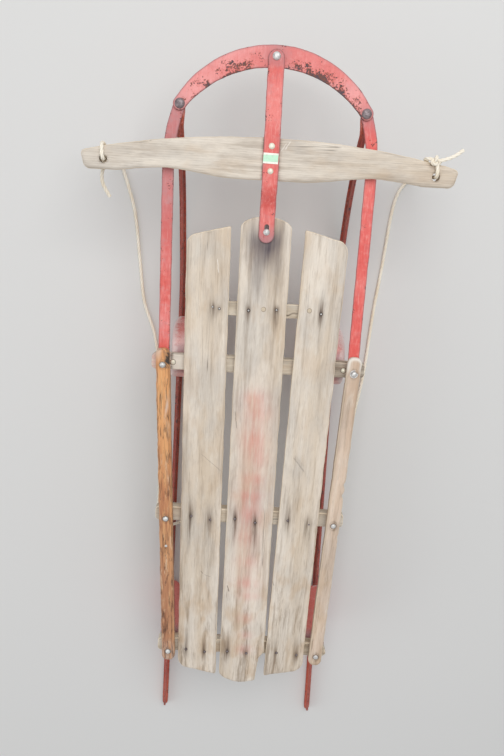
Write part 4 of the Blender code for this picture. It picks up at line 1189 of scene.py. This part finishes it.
def rail_rubbed(points, depth):
    """Varnish rubbed through to pale wood at the left rail's front end, and one long splinter."""
    x, y = on_plan(points)
    end = 0.55 * ease((y - 0.240) / 0.020) * ease((x + 0.1435) / -0.006 + 1)
    splinter = 0.8 * bell(x + 0.1300 - 0.12 * (y - 0.178), 0.0016) * bell(y - 0.178, 0.013)
    return np.clip(end + splinter, 0, 1) * (x < 0)


def rail_tip(points, depth):
    """Pale worn edge round the right rail's front end."""
    return np.clip(1.3 - depth / 0.0035, 0, 1) * ease((on_plan(points)[1] - 0.236) / 0.014)


def make_rails():
    notch = ARM_BOTTOM + STRIP_THICKNESS + GAP - RAIL_BOTTOM
    stretch = 1 / math.cos(RAIL_SPLAY)
    for side, name in SLAT_SIDES:
        seed = 83 + 6 * side
        turn = side * RAIL_SPLAY
        inner_wear, outer_wear = uneven(seed, 0.0006), uneven(seed + 4, 0.0010, 0.02)

        def sides(v):
            bites = sum(depth * bell(v - place, 0.0042) for place, depth in RAIL_BITES[name])
            return -RAIL_HALF + inner_wear(v), RAIL_HALF + outer_wear(v) - bites

        def ends(u):
            fall = corner_fall(RAIL_HALF - np.abs(u), RAIL_END)
            return RAIL_REAR * stretch + fall, RAIL_FRONT * stretch - fall

        def lower(u, v, depth):
            return notch * ease((v - RAIL_NOTCH_REAR) / 0.002)

        place = lying(side * RAIL_OFFSET, MIDDLE, (RAIL_BOTTOM + RAIL_TOP) / 2, turn, side)
        marks = {"stain": rail_dirt, "soot": rail_rubbed, "rubbed_and_lit": rail_tip}
        rail = plate("side_rail_" + name + "_timber", sides, ends, (14, 260), RAIL_TOP - RAIL_BOTTOM,
                     TIMBER_ROUNDING, place, relief(seed, 0.0004), lower, marks)
        if name == "left":
            wood = varnished_wood("varnished_rail", turn, 2.4)
            settle(rail, wood, "deck", ["side_rail_left"])
        else:
            wood = weathered_wood("ash_rail_right", turn, 9.9, 0.006, 0.03, RAIL_TONES)
            settle(rail, wood, "deck", ["side_rail_right"])


def bar_rear(x):
    waist = ease((x - BAR_BELLY_X) / (BAR_WAIST_X - BAR_BELLY_X))
    grip = ease((x - BAR_WAIST_X) / (HOLE_X - BAR_WAIST_X))
    return (BAR_REAR_MIDDLE + (BAR_REAR_WAIST - BAR_REAR_MIDDLE) * waist
            + (BAR_REAR_END - BAR_REAR_WAIST) * grip)


def bar_front(x):
    return BAR_FRONT_MIDDLE - (BAR_FRONT_MIDDLE - BAR_FRONT_END) * (x / BAR_HALF_LENGTH) ** 2


def bar_dirt(points, depth):
    """Dark lines along the strap's sides, a shade round the rope holes and handling dirt near the middle."""
    x, y = np.abs(points[..., 0]), points[..., 1] - BAR_Y
    beside = 0.5 * bell(x - STRAP_HALF - 0.0006, 0.0012)
    hole = 0.4 * bell(np.hypot(x - HOLE_X, y) - BAR_HOLE_RADIUS, 0.0015)
    handled = 0.15 * bell(x - 0.030, 0.026) * ease((y + 0.012) / 0.020)
    return np.clip(beside + hole + handled, 0, 1)


def make_bar():
    wear = uneven(101, 0.0007)

    def sides(v):
        return bar_rear(np.abs(v)) + wear(v), bar_front(np.abs(v)) + wear(v + 5)

    def ends(u):
        corner = corner_fall(u - BAR_REAR_END, BAR_END_CORNER)
        corner += corner_fall(BAR_FRONT_END - u, BAR_END_CORNER)
        corner += BAR_END_SLANT * (BAR_FRONT_END - u) / (BAR_FRONT_END - BAR_REAR_END)
        return -BAR_HALF_LENGTH + corner, BAR_HALF_LENGTH - corner

    bar = plate("steering_bar_timber", sides, ends, (26, 230), BAR_TOP - BAR_BOTTOM, TIMBER_ROUNDING,
                crosswise(BAR_Y, (BAR_TOP + BAR_BOTTOM) / 2), relief(103, 0.0004), marks={"stain": bar_dirt})
    bar = bore(bar, [((side * HOLE_X, BAR_Y, BAR_TOP), BAR_HOLE_RADIUS) for side in (-1, 1)])
    wood = weathered_wood("ash_steering_bar", math.pi / 2, 4.4, 0.012, 0.02, BAR_TONES, 0.12, 0.10)
    settle(bar, wood, "steering_lever", ["steering_bar"])


def strip(name, path, half, cells, seed, marks, bend=0.0006):
    """Steel strip on the line of its underside, with round ends and the bends of long use."""
    place, length = following(path + (0, 0, STRIP_THICKNESS / 2))
    edge = uneven(seed, 0.0005, 0.02)

    def sides(v):
        return -half(v / length) + edge(v), half(v / length) + edge(v + 9)

    def sway(u, v, depth):
        settled = ease(v / 0.05) * ease((length - v) / 0.05)
        return bend * settled * waver(v, seed + 2, 0.05)

    return plate(name, sides, round_ends(half(0.0), length), cells, STRIP_THICKNESS, STRIP_ROUNDING, place,
                 sway, sway, marks)


def arm_path(side):
    y = np.linspace(FRONT_Y - MIDDLE, BOW_RIVET_Y - MIDDLE, 90)
    turn = np.clip((y - ARM_BEND) / (BOW_RIVET_Y - MIDDLE - ARM_BEND), 0, None)
    x = ARM_X - (ARM_X - BOW_RIVET_X) * turn ** 2
    z = ARM_BOTTOM + ARM_RISE * ease((y - ARM_RISE_FROM) / ARM_RISE_LENGTH)
    return np.stack([side * x, y + MIDDLE, z], -1)


def make_arms():
    # Paint, faded paint, seed, wear and dust; then where the grey bloom starts and ends, and its most
    looks = {"left": ((222, 94, 84), (232, 134, 128), 2.0, -0.01, 0.30, 0.34, 0.54, 0.66),
             "right": ((224, 88, 80), (234, 120, 112), 6.0, -0.02, 0.14, 0.555, 0.60, 0.70)}
    for side, name in SLAT_SIDES:
        red, faded, seed, wear, dust, start, end, most = looks[name]

        def bloom(points, depth):
            return most * ease((on_plan(points)[1] - start) / (end - start)) + 0.25 * near_edge(depth, 0.003)

        arm = strip("side_arm_" + name + "_strip", arm_path(side), lambda share: ARM_HALF, (12, 230),
                    111 + side, {"soot": bloom})
        settle(arm, enamel("enamel_arm_" + name, red, faded, seed, wear, 0.05, dust),
               "arm_" + name, ["side_arm_" + name])


def make_bow():
    reach = BOLT_Y - BOW_RIVET_Y
    radius = (BOW_RIVET_X ** 2 + reach ** 2) / (2 * reach)
    sweep = math.asin(BOW_RIVET_X / radius)
    turn = np.linspace(-sweep, sweep, 120)
    path = np.stack([radius * np.sin(turn), BOLT_Y - radius * (1 - np.cos(turn)), 0 * turn + BOW_BOTTOM], -1)

    def half(share):
        swell = np.maximum(np.cos((2 * np.clip(share, 0, 1) - 1) * math.pi / 2), 0) ** 0.8
        return (BOW_WIDTH_END + (BOW_WIDTH_MIDDLE - BOW_WIDTH_END) * swell) / 2

    def inside(points):
        """How far a point lies inwards of the bow's middle line."""
        return radius - np.hypot(points[..., 0], points[..., 1] - (BOLT_Y - radius))

    def worn(points, depth):
        x = points[..., 0]
        spread = bell(x + 0.052, 0.028) + bell(x - 0.060, 0.038) + 0.45 * (np.abs(x) > 0.085)
        return np.clip((inside(points) + 0.009) / 0.020, 0, 1) * np.clip(spread, 0, 1)

    def bloom(points, depth):
        x, y = np.abs(points[..., 0]), points[..., 1]
        bolt, rivet = np.hypot(x, y - BOLT_Y), np.hypot(x - BOW_RIVET_X, y - BOW_RIVET_Y)
        return 0.60 * bell(bolt, 0.016) + 0.40 * bell(rivet, 0.012) + 0.35 * near_edge(depth, 0.003)

    def dark_edge(points, depth):
        return 0.60 * near_edge(depth, 0.0026) * (0.35 + 0.65 * (inside(points) > 0))

    marks = {"worn": worn, "soot": bloom, "deep": dark_edge}
    bow = strip("front_bow_strip", path, half, (20, 220), 121, marks)
    settle(bow, enamel("enamel_bow", (222, 116, 110), (234, 152, 148), 4.0, -0.012, 0.045, 0.25, 0.3),
           "bow", ["front_bow"])


def make_strap():
    y = np.linspace(STRAP_REAR + STRAP_HALF, STRAP_FRONT - STRAP_HALF, 140)
    lowest, highest = SLAT_TOP + GAP, BAR_TOP + GAP
    rear = ease((y - STRAP_REAR_RAMP[0]) / (STRAP_REAR_RAMP[1] - STRAP_REAR_RAMP[0]))
    front = ease((y - STRAP_FRONT_RAMP[0]) / (STRAP_FRONT_RAMP[1] - STRAP_FRONT_RAMP[0]))
    z = lowest + (highest - lowest) * rear + (BOW_TOP + GAP - highest) * front

    def bloom(points, depth):
        along = on_plan(points)[1]
        ends = 0.75 * ease((0.450 - along) / 0.030) + 0.45 * ease((along - 0.642) / 0.010)
        return np.clip(ends + 0.35 * near_edge(depth, 0.0035), 0, 1)

    strap = strip("steering_strap_strip", np.stack([0 * y, y + MIDDLE, z], -1), lambda share: STRAP_HALF,
                  (16, 170), 131, {"soot": bloom}, 0.0)
    slot_middle = PIN_Y - SLOT_HALF_WIDTH + SLOT_LENGTH / 2
    straight = SLOT_LENGTH / 2 - SLOT_HALF_WIDTH
    slot = [((0, slot_middle, SLAT_TOP), (SLOT_HALF_WIDTH * 0.995, straight, 0.02))]
    slot += [((0, slot_middle + side * straight, SLAT_TOP), SLOT_HALF_WIDTH) for side in (-1, 1)]
    settle(bore(strap, slot), enamel("enamel_strap", (216, 88, 80), (230, 124, 116), 8.0, -0.02, 0.05, 0.22),
           "steering_lever", ["steering_strap"])


# Half of the runner's section, upside down: across, up
TEE = ((0, 0), (0.0042, 0), (0.005, 0.0009), (0.005, 0.0023), (0.0044, 0.003), (0.0028, 0.0031),
       (0.0019, 0.0037), (0.0015, 0.0050), (0.0015, 0.0110), (0.0015, 0.0182), (0.0009, 0.0190), (0, 0.0190))
TEE_HALF = 0.005
TEE_HEIGHT = 0.019
TAB_HEIGHT = 0.0031
TAIL_ROUND = 0.014


def tee_section(place, slope, half_flange, height):
    """Upside down T, with its fillets, across a runner whose sole passes place at a slope."""
    spread = half_flange / TEE_HALF
    right = [(across * (spread if up <= RUNNER_FLANGE else 1), min(up, height)) for across, up in TEE]
    outline = right + [(-across, up) for across, up in right[-2:0:-1]]
    return [(place[0] + across, place[1] - up * math.sin(slope), place[2] + up * math.cos(slope))
            for across, up in outline]


def runner_x(y):
    return RUNNER_X - math.tan(RUNNER_SPLAY) * y


def runner_rows(side):
    """Stations of a runner from its tail to the tab under the bow: x, y, z, slope, half flange, height."""
    run = BOW_RIVET_Y - MIDDLE - TAB_LENGTH
    both = ((run - RUNNER_LIFT) ** 2 + TAB_BOTTOM ** 2) / (2 * TAB_BOTTOM)
    turn = 2 * math.atan2(TAB_BOTTOM, run - RUNNER_LIFT)
    radius = both - CURL_TOP_RADIUS
    tail = TAIL_Y - MIDDLE
    rows = []
    for y in (0, 0.0006, 0.002, 0.005, 0.009, TAIL_ROUND):
        corner = math.sqrt(max(0.0, 1 - (1 - y / TAIL_ROUND) ** 2))
        half, height = 0.0036 + 0.0014 * corner, 0.006 + 0.013 * corner
        rows.append((side * runner_x(tail + y), tail + y, 0, 0, half, height))
    for y in np.linspace(tail + 0.02, RUNNER_LIFT, 80):
        rows.append((side * runner_x(y), y, 0, 0, TEE_HALF, TEE_HEIGHT))
    for angle in np.linspace(0, turn, 60)[1:]:
        y = RUNNER_LIFT + radius * math.sin(angle)
        x = runner_x(y) + (BOW_RIVET_X - runner_x(y)) * float(ease((y - RUNNER_SPLIT) / CURL_TURN_IN))
        height = TAB_HEIGHT + 0.016 * float(ease((1 - angle / turn) * 4))
        rows.append((side * x, y, radius * (1 - math.cos(angle)), angle, TEE_HALF, height))
    for angle in np.linspace(turn, 0, 14)[1:]:
        half = TEE_HALF + (TAB_HALF_WIDTH - TEE_HALF) * (1 - angle / turn)
        rows.append((side * BOW_RIVET_X, run - CURL_TOP_RADIUS * math.sin(angle),
                     TAB_BOTTOM - CURL_TOP_RADIUS * (1 - math.cos(angle)), angle, half, TAB_HEIGHT))
    for angle in np.linspace(0, math.pi / 2, 9)[1:]:
        rows.append((side * BOW_RIVET_X, run + TAB_LENGTH + TAB_HALF_WIDTH * math.sin(angle), TAB_BOTTOM, 0,
                     TAB_HALF_WIDTH * max(math.cos(angle), 0.03), TAB_HEIGHT))
    return rows


def make_runners():
    enamelled = enamel("enamel_runner", (184, 72, 50), (202, 98, 70), 12.0, 0.01, 0.05, 0.08)
    for side, name in SLAT_SIDES:
        rows = runner_rows(side)
        points = np.array([tee_section((x, y + MIDDLE, z), slope, half, height)
                           for x, y, z, slope, half, height in rows])
        count = points.shape[1]
        index = np.arange(points.shape[0] * count).reshape(points.shape[:2])
        after = np.roll(index, -1, 1)
        faces = np.stack([index[:-1], after[:-1], after[1:], index[1:]], -1).reshape(-1, 4).tolist()
        faces += [index[0].tolist(), index[-1][::-1].tolist()]
        crest = (9, 10, 11, 12, 13)
        edge = np.isin(np.arange(count), (2, 3, 4, *crest, count - 4, count - 3, count - 2)) * 1.0
        # The crest takes a little of the pale fold, a painted highlight along the runner's top edge
        shares = {"rim": edge, "fold": np.isin(np.arange(count), crest) * 0.15,
                  "sole": np.isin(np.arange(count), (0, 1, count - 1)) * 1.0}
        values = {key: np.tile(share, len(rows)) for key, share in shares.items()}
        # Ahead of the tails the runner is tinted dark maroon; its edges are kept out of the tint and stay
        # lighter as painted highlights
        dark = 0.70 * ease((np.array([row[1] for row in rows]) - REAR_Y + MIDDLE) / 0.06)
        values["deep"] = (dark[:, None] * (1 - edge)).ravel()
        runner = solid("runner_" + name + "_rail", points.reshape(-1, 3), faces, values)
        runner.data.set_sharp_from_angle(angle=math.radians(40))
        settle(runner, enamelled)
        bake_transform(runner)
        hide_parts("runner_" + name, "runner_front_" + name)


def knee_row(share):
    """Half of a knee's section, from a flange's free edge to the middle of the outer wall."""
    height = KNEE_TOP + (KNEE_WALL_BOTTOM - KNEE_TOP) * share
    spread = (1 - (1 - share) ** KNEE_SHOULDER) ** (1 / KNEE_SHOULDER)
    half = CROSSBAR_HALF_WIDTH + (KNEE_HALF_FOOT - CROSSBAR_HALF_WIDTH) * spread
    outer = KNEE_OUTER + KNEE_BULGE * math.sin(math.pi * share)
    narrow = max(0.0, (share - KNEE_TONGUE) / (1 - KNEE_TONGUE))
    width = KNEE_CORNER * 1.1 + (KNEE_WIDTH - KNEE_CORNER * 1.1) * math.sqrt(max(0.0, 1 - narrow ** 2))
    row = [(outer - width + (width - KNEE_CORNER) * step / 10, half) for step in range(10)]
    for step in range(6):
        angle = math.pi / 2 * step / 5
        row.append((outer - KNEE_CORNER * (1 - math.sin(angle)), half - KNEE_CORNER * (1 - math.cos(angle))))
    row += [(outer, (half - KNEE_CORNER) * (1 - step / 14)) for step in range(1, 15)]
    return row, height


def fill_strip(shape, first, second):
    """Quads between two rows of a sheet's points."""
    for i in range(len(first) - 1):
        shape.faces.new((first[i], first[i + 1], second[i + 1], second[i]))


def knee_sheet(name, side, y, rubbed_and_lit):
    """One pressed knee, drawn as the outer face of its sheet and then given its thickness."""
    shares = [KNEE_TONGUE * (step / 24) ** 1.7 for step in range(24)]
    shares += [KNEE_TONGUE + (1 - KNEE_TONGUE) * math.sin(math.pi / 2 * step / 20) for step in range(21)]
    wall_start = 15
    shape = bmesh.new()
    fold, grey, rim = (shape.verts.layers.float.new(key) for key in ("fold", "soot", "rim"))
    grid = []
    for share in shares:
        row, height = knee_row(share)
        row = row + [(x, -along) for x, along in row[-2::-1]]
        grid.append([shape.verts.new((side * x, along, height)) for x, along in row])
        for i, vert in enumerate(grid[-1]):
            away = min(abs(i - wall_start + 2.5), abs(len(row) - 1 - i - wall_start + 2.5))
            # Pale band along the bend: worn paint, with a painted highlight
            vert[fold] = rubbed_and_lit * max(0.0, 1 - away / 6, 6 * share - 5.3)
            vert[grey] = max(0.0, 1 - share / 0.08)
    last = len(grid[0]) - 1
    wall_foot = grid[-1][wall_start:last - wall_start + 1]
    foot = wall_foot
    for step in range(1, 7):
        z = KNEE_WALL_BOTTOM + (KNEE_FOOT_BOTTOM - KNEE_WALL_BOTTOM) * step / 6
        narrowed = 1 - 0.10 * (max(0, step - 3) / 3) ** 2
        row = [shape.verts.new((vert.co.x, vert.co.y * narrowed, z)) for vert in wall_foot]
        fill_strip(shape, foot, row)
        foot = row
    for upper, lower in zip(grid, grid[1:]):
        fill_strip(shape, upper, lower)
    top = grid[0]
    middle = last // 2
    plate_rows = []
    for near, far in zip(top[:middle], top[::-1]):
        between = [shape.verts.new(near.co.lerp(far.co, step / 12)) for step in range(1, 12)]
        plate_rows.append([near, *between, far])
    for first, second in zip(plate_rows, plate_rows[1:]):
        fill_strip(shape, first, second)
    for k in range(12):
        shape.faces.new((plate_rows[-1][k], plate_rows[-1][k + 1], top[middle]))
    bmesh.ops.remove_doubles(shape, verts=shape.verts, dist=1e-5)
    bmesh.ops.recalc_face_normals(shape, faces=shape.faces)
    outermost = max(shape.faces, key=lambda face: side * face.calc_center_median().x)
    if outermost.normal.x * side < 0:
        bmesh.ops.reverse_faces(shape, faces=shape.faces)
    edge = [vert.co.copy() for vert in shape.verts if vert.is_boundary]
    tree = kdtree.KDTree(len(edge))
    for i, point in enumerate(edge):
        tree.insert(point, i)
    tree.balance()
    for vert in shape.verts:
        vert[rim] = max(0.0, 1 - tree.find(vert.co)[2] / RIM_REACH)
    mesh = bpy.data.meshes.new(name)
    shape.to_mesh(mesh)
    shape.free()
    shift = Matrix.Translation((side * runner_x(y - MIDDLE), y, 0))
    mesh.transform(shift @ Matrix.Rotation(side * RUNNER_SPLAY, 4, "Z"))
    mesh.shade_smooth()
    sheet = new_object(name, mesh)
    wall = sheet.modifiers.new("sheet", "SOLIDIFY")
    wall.thickness = KNEE_SHEET
    wall.offset = -1.0
    knee = bake(sheet)
    knee.data.set_sharp_from_angle(angle=SHARP)
    return knee


def make_knees():
    # Place, strength of the pale bends (worn paint with a painted highlight) and the faded paint. The front
    # knees' paint is faded and also made paler as painted light, to lift them out of the crossbar's shade.
    looks = (("front", FRONT_Y, 1.0, (250, 214, 210)), ("rear", REAR_Y, 0.6, (208, 104, 92)))
    for place, y, rubbed_and_lit, faded in looks:
        for side, name in SLAT_SIDES:
            node = "knee_" + place + "_" + name
            paint = enamel("enamel_" + node, (220, 124, 116), faded, 14.0 + side, -0.01, 0.05, 0.15)
            settle(knee_sheet(node + "_pressing", side, y, rubbed_and_lit), paint, "deck", [node])


UP, DOWN = (0, 0, 1), (0, 0, -1)


def stud_piece(name, places, group, radius, height, material, washer=0.0):
    """Domed heads at (x, y, z, facing), grown on a mesh of loose points."""
    mesh = bpy.data.meshes.new(name)
    mesh.from_pydata([place[:3] for place in places], [], [])
    facing = mesh.attributes.new("facing", "FLOAT_VECTOR", "POINT")
    facing.data.foreach_set("vector", np.array([place[3] for place in places], np.float32).ravel())
    return grow(new_object(name, mesh), group, {
        "Radius": radius, "Height": height, "Washer": washer, "Uneven": HEAD_UNEVEN, "Material": material})


def make_studs():
    group = stud_tree()
    silver = bare_metal("dull_zinc", (236, 234, 230), (190, 188, 186), (120, 98, 84), -0.02, 0.6, 0.45)
    dark = bare_metal("rusted_steel", (150, 138, 140), (116, 104, 106), (110, 80, 72), 0.0, 0.45, 0.42)
    cream = bare_metal("cream_zinc", (242, 238, 220), (220, 214, 192), (136, 116, 92), -0.04, 0.25, 0.40)
    pitch = plain("nail_pitch", (78, 66, 58), 0.8)
    seat = plain("rivet_seat", (112, 94, 80), 0.7)
    faint = plain("plug_glue", (158, 140, 122), 0.8)
    timber = plain("plug_timber", (204, 188, 164), 0.7)
    red = enamel("enamel_rivets", (188, 78, 70), (210, 120, 112), 22.0, 0.02, 0.0, 0.2)

    def add(name, places, radius, height, material, body="deck", nodes=(), washer=0.0):
        piece = stud_piece(name, places, group, radius, height, material, washer)
        settle(piece, material, body, nodes)

    def on_level(places, height, facing=UP):
        """Places measured from the middle crossbar, at one height."""
        return [(x, y + MIDDLE, height, facing) for x, y, *_ in places]

    rails = on_level(RAIL_RIVETS, RAIL_TOP)
    add("rail_rivet_seats", rails, 0.0049, 0.0007, seat)
    add("rail_rivet_heads_front", rails[:2], 0.0043, 0.0030, silver,
        nodes=["rail_rivet_left", "rail_rivet_right"])
    add("rail_rivet_washer", rails[1:2], 0.0040, 0.0010, silver, washer=0.0058)
    add("rail_rivet_heads", rails[2:], 0.0040, 0.0026, silver)
    tails = on_level(RAIL_RIVETS, CROSSBAR_BOTTOM, DOWN)
    add("rail_rivet_tails", tails, 0.0045, 0.0018, silver)
    knees = [(side * KNEE_RIVET_X, FRONT_Y, CROSSBAR_TOP, UP) for side in (-1, 1)]
    add("knee_rivet_seats", knees, 0.0044, 0.0006, seat)
    add("knee_rivet_heads", knees, 0.0038, 0.0024, cream)
    strap_top = BAR_TOP + GAP + STRIP_THICKNESS
    add("strap_rivet_heads", on_level([(0, y) for y in STRAP_RIVETS], strap_top), 0.00415, 0.0022, cream,
        "steering_lever")
    bolt_top = BOW_TOP + 2 * GAP + STRIP_THICKNESS
    add("bow_bolt_head", [(0, BOLT_Y, bolt_top, UP), (0, BOLT_Y, BOW_BOTTOM - GAP, DOWN)], 0.0054, 0.0034,
        silver, "bow", ["bow_bolt"])
    pin_seat = SLAT_TOP + 2 * GAP + STRIP_THICKNESS
    add("deck_pin_head", [(0, PIN_Y, pin_seat, UP)], 0.0046, 0.0030, silver,
        nodes=["deck_pin"])
    for side, name in SLAT_SIDES:
        x = side * BOW_RIVET_X
        add("bow_rivet_head_" + name, [(x, BOW_RIVET_Y, BOW_TOP + GAP, UP)], 0.0067, 0.0036, dark,
            "arm_" + name, ["bow_rivet_" + name])
        add("bow_rivet_tail_" + name, [(x, BOW_RIVET_Y, TAB_BOTTOM - GAP, DOWN)], 0.0048, 0.0020, dark,
            "arm_" + name)
    feet = [(side * (runner_x(y + along - MIDDLE) + face * out), y + along, 0.0125, (side * face, 0, 0))
            for side in (-1, 1) for y in (FRONT_Y, REAR_Y) for along in (-0.024, 0.024)
            for face, out in ((1, KNEE_OUTER), (-1, RUNNER_WEB_HALF))]
    add("foot_rivet_heads", feet, 0.0042, 0.0018, red)
    nails = on_level(NAILS, SLAT_TOP - 0.0001)
    add("nail_hollows", nails, 0.0025, 0.0003, pitch)
    add("slat_nails_front", nails[:5], 0.0013, 0.0009, silver)
    add("slat_nails", nails[5:], 0.0015, 0.0008, dark)
    plugs = on_level(PLUGS, SLAT_TOP - 0.0001)
    add("plug_joints", plugs, 0.0037, 0.00025, faint)
    add("nail_plugs", plugs, 0.0031, 0.00045, timber)
    add("rail_nail", on_level([RAIL_NAIL], RAIL_TOP - 0.0002), 0.0022, 0.0009, silver)


def make_label():
    """Small blank paper label on the strap, with one corner lifting."""
    width, length = LABEL_SIZE
    middle_y = LABEL_PLACE + MIDDLE
    z = BAR_TOP + GAP + STRIP_THICKNESS + 0.00015

    def place(u, v):
        points, normal = lying(-0.0005, middle_y, z, 0.02)(u, v)
        points[..., 2] += np.clip((u / width + v / length) - 0.55, 0, 1) ** 2 * 0.010
        return points, normal

    label = plate("blank_label", lambda v: (0 * v - width / 2, 0 * v + width / 2),
                  lambda u: (0 * u - length / 2, 0 * u + length / 2), (24, 18), 0.0002, 0.00008, place)
    f = Finish("label_paper")
    here = f.place()
    along = f.parts(here)[1]
    band = (f.step(along, middle_y - 0.0046, middle_y - 0.0042)
            * (1 - f.step(along, middle_y + 0.0042, middle_y + 0.0046)))
    grime = f.step(f.noise(here, 240, 4.0, 0.6), 0.45, 0.75)
    colour = f.coats((248, 248, 236), (band * 0.8, (182, 236, 200)), (grime * 0.35, (188, 176, 160)))
    f.feed(Base_Color=colour, Roughness=0.7)
    settle(label, f.material, "steering_lever")


def make_camera():
    lens = bpy.data.cameras.new("camera")
    lens.sensor_fit = "VERTICAL"
    lens.sensor_height = SENSOR_HEIGHT
    lens.lens = SENSOR_HEIGHT * FOCAL_PIXELS / IMAGE_HEIGHT
    lens.clip_start = 0.05
    camera = new_object("camera", lens)
    turn = (Matrix.Rotation(CAMERA_TILT, 4, "X") @ Matrix.Rotation(CAMERA_ROLL, 4, "Y")
            @ Matrix.Rotation(CAMERA_TURN, 4, "Z"))
    camera.matrix_world = Matrix.Translation(CAMERA_PLACE) @ turn
    bpy.context.scene.camera = camera


def make_stage():
    mesh = bpy.data.meshes.new("floor")
    shape = bmesh.new()
    bmesh.ops.create_grid(shape, x_segments=1, y_segments=1, size=6)
    shape.to_mesh(mesh)
    shape.free()
    floor = new_object("floor", mesh)
    floor.location.z = FLOOR_LEVEL
    f = Finish("pale_floor")
    f.feed(Base_Color=FLOOR_COLOUR, Roughness=0.9)
    mesh.materials.append(f.material)


def make_lights():
    scene = bpy.context.scene
    scene.view_settings.view_transform = "Standard"
    world = bpy.data.worlds.new("studio")
    world.use_nodes = True
    background = world.node_tree.nodes["Background"]
    background.inputs["Color"].default_value = SKY_COLOUR
    background.inputs["Strength"].default_value = SKY_STRENGTH
    scene.world = world
    for name, place, target, power in LAMPS:
        light = bpy.data.lights.new(name, "AREA")
        light.size = LAMP_SIZE
        light.energy = power
        lamp = new_object(name, light)
        lamp.location = place
        lamp.rotation_euler = (Vector(target) - Vector(place)).to_track_quat("-Z", "Y").to_euler()


make_camera()
make_rope()
make_slats()
make_center_slat()
make_crossbars()
make_batten()
make_rails()
make_bar()
make_arms()
make_bow()
make_strap()
make_runners()
make_knees()
make_studs()
make_label()
make_stage()
make_lights()
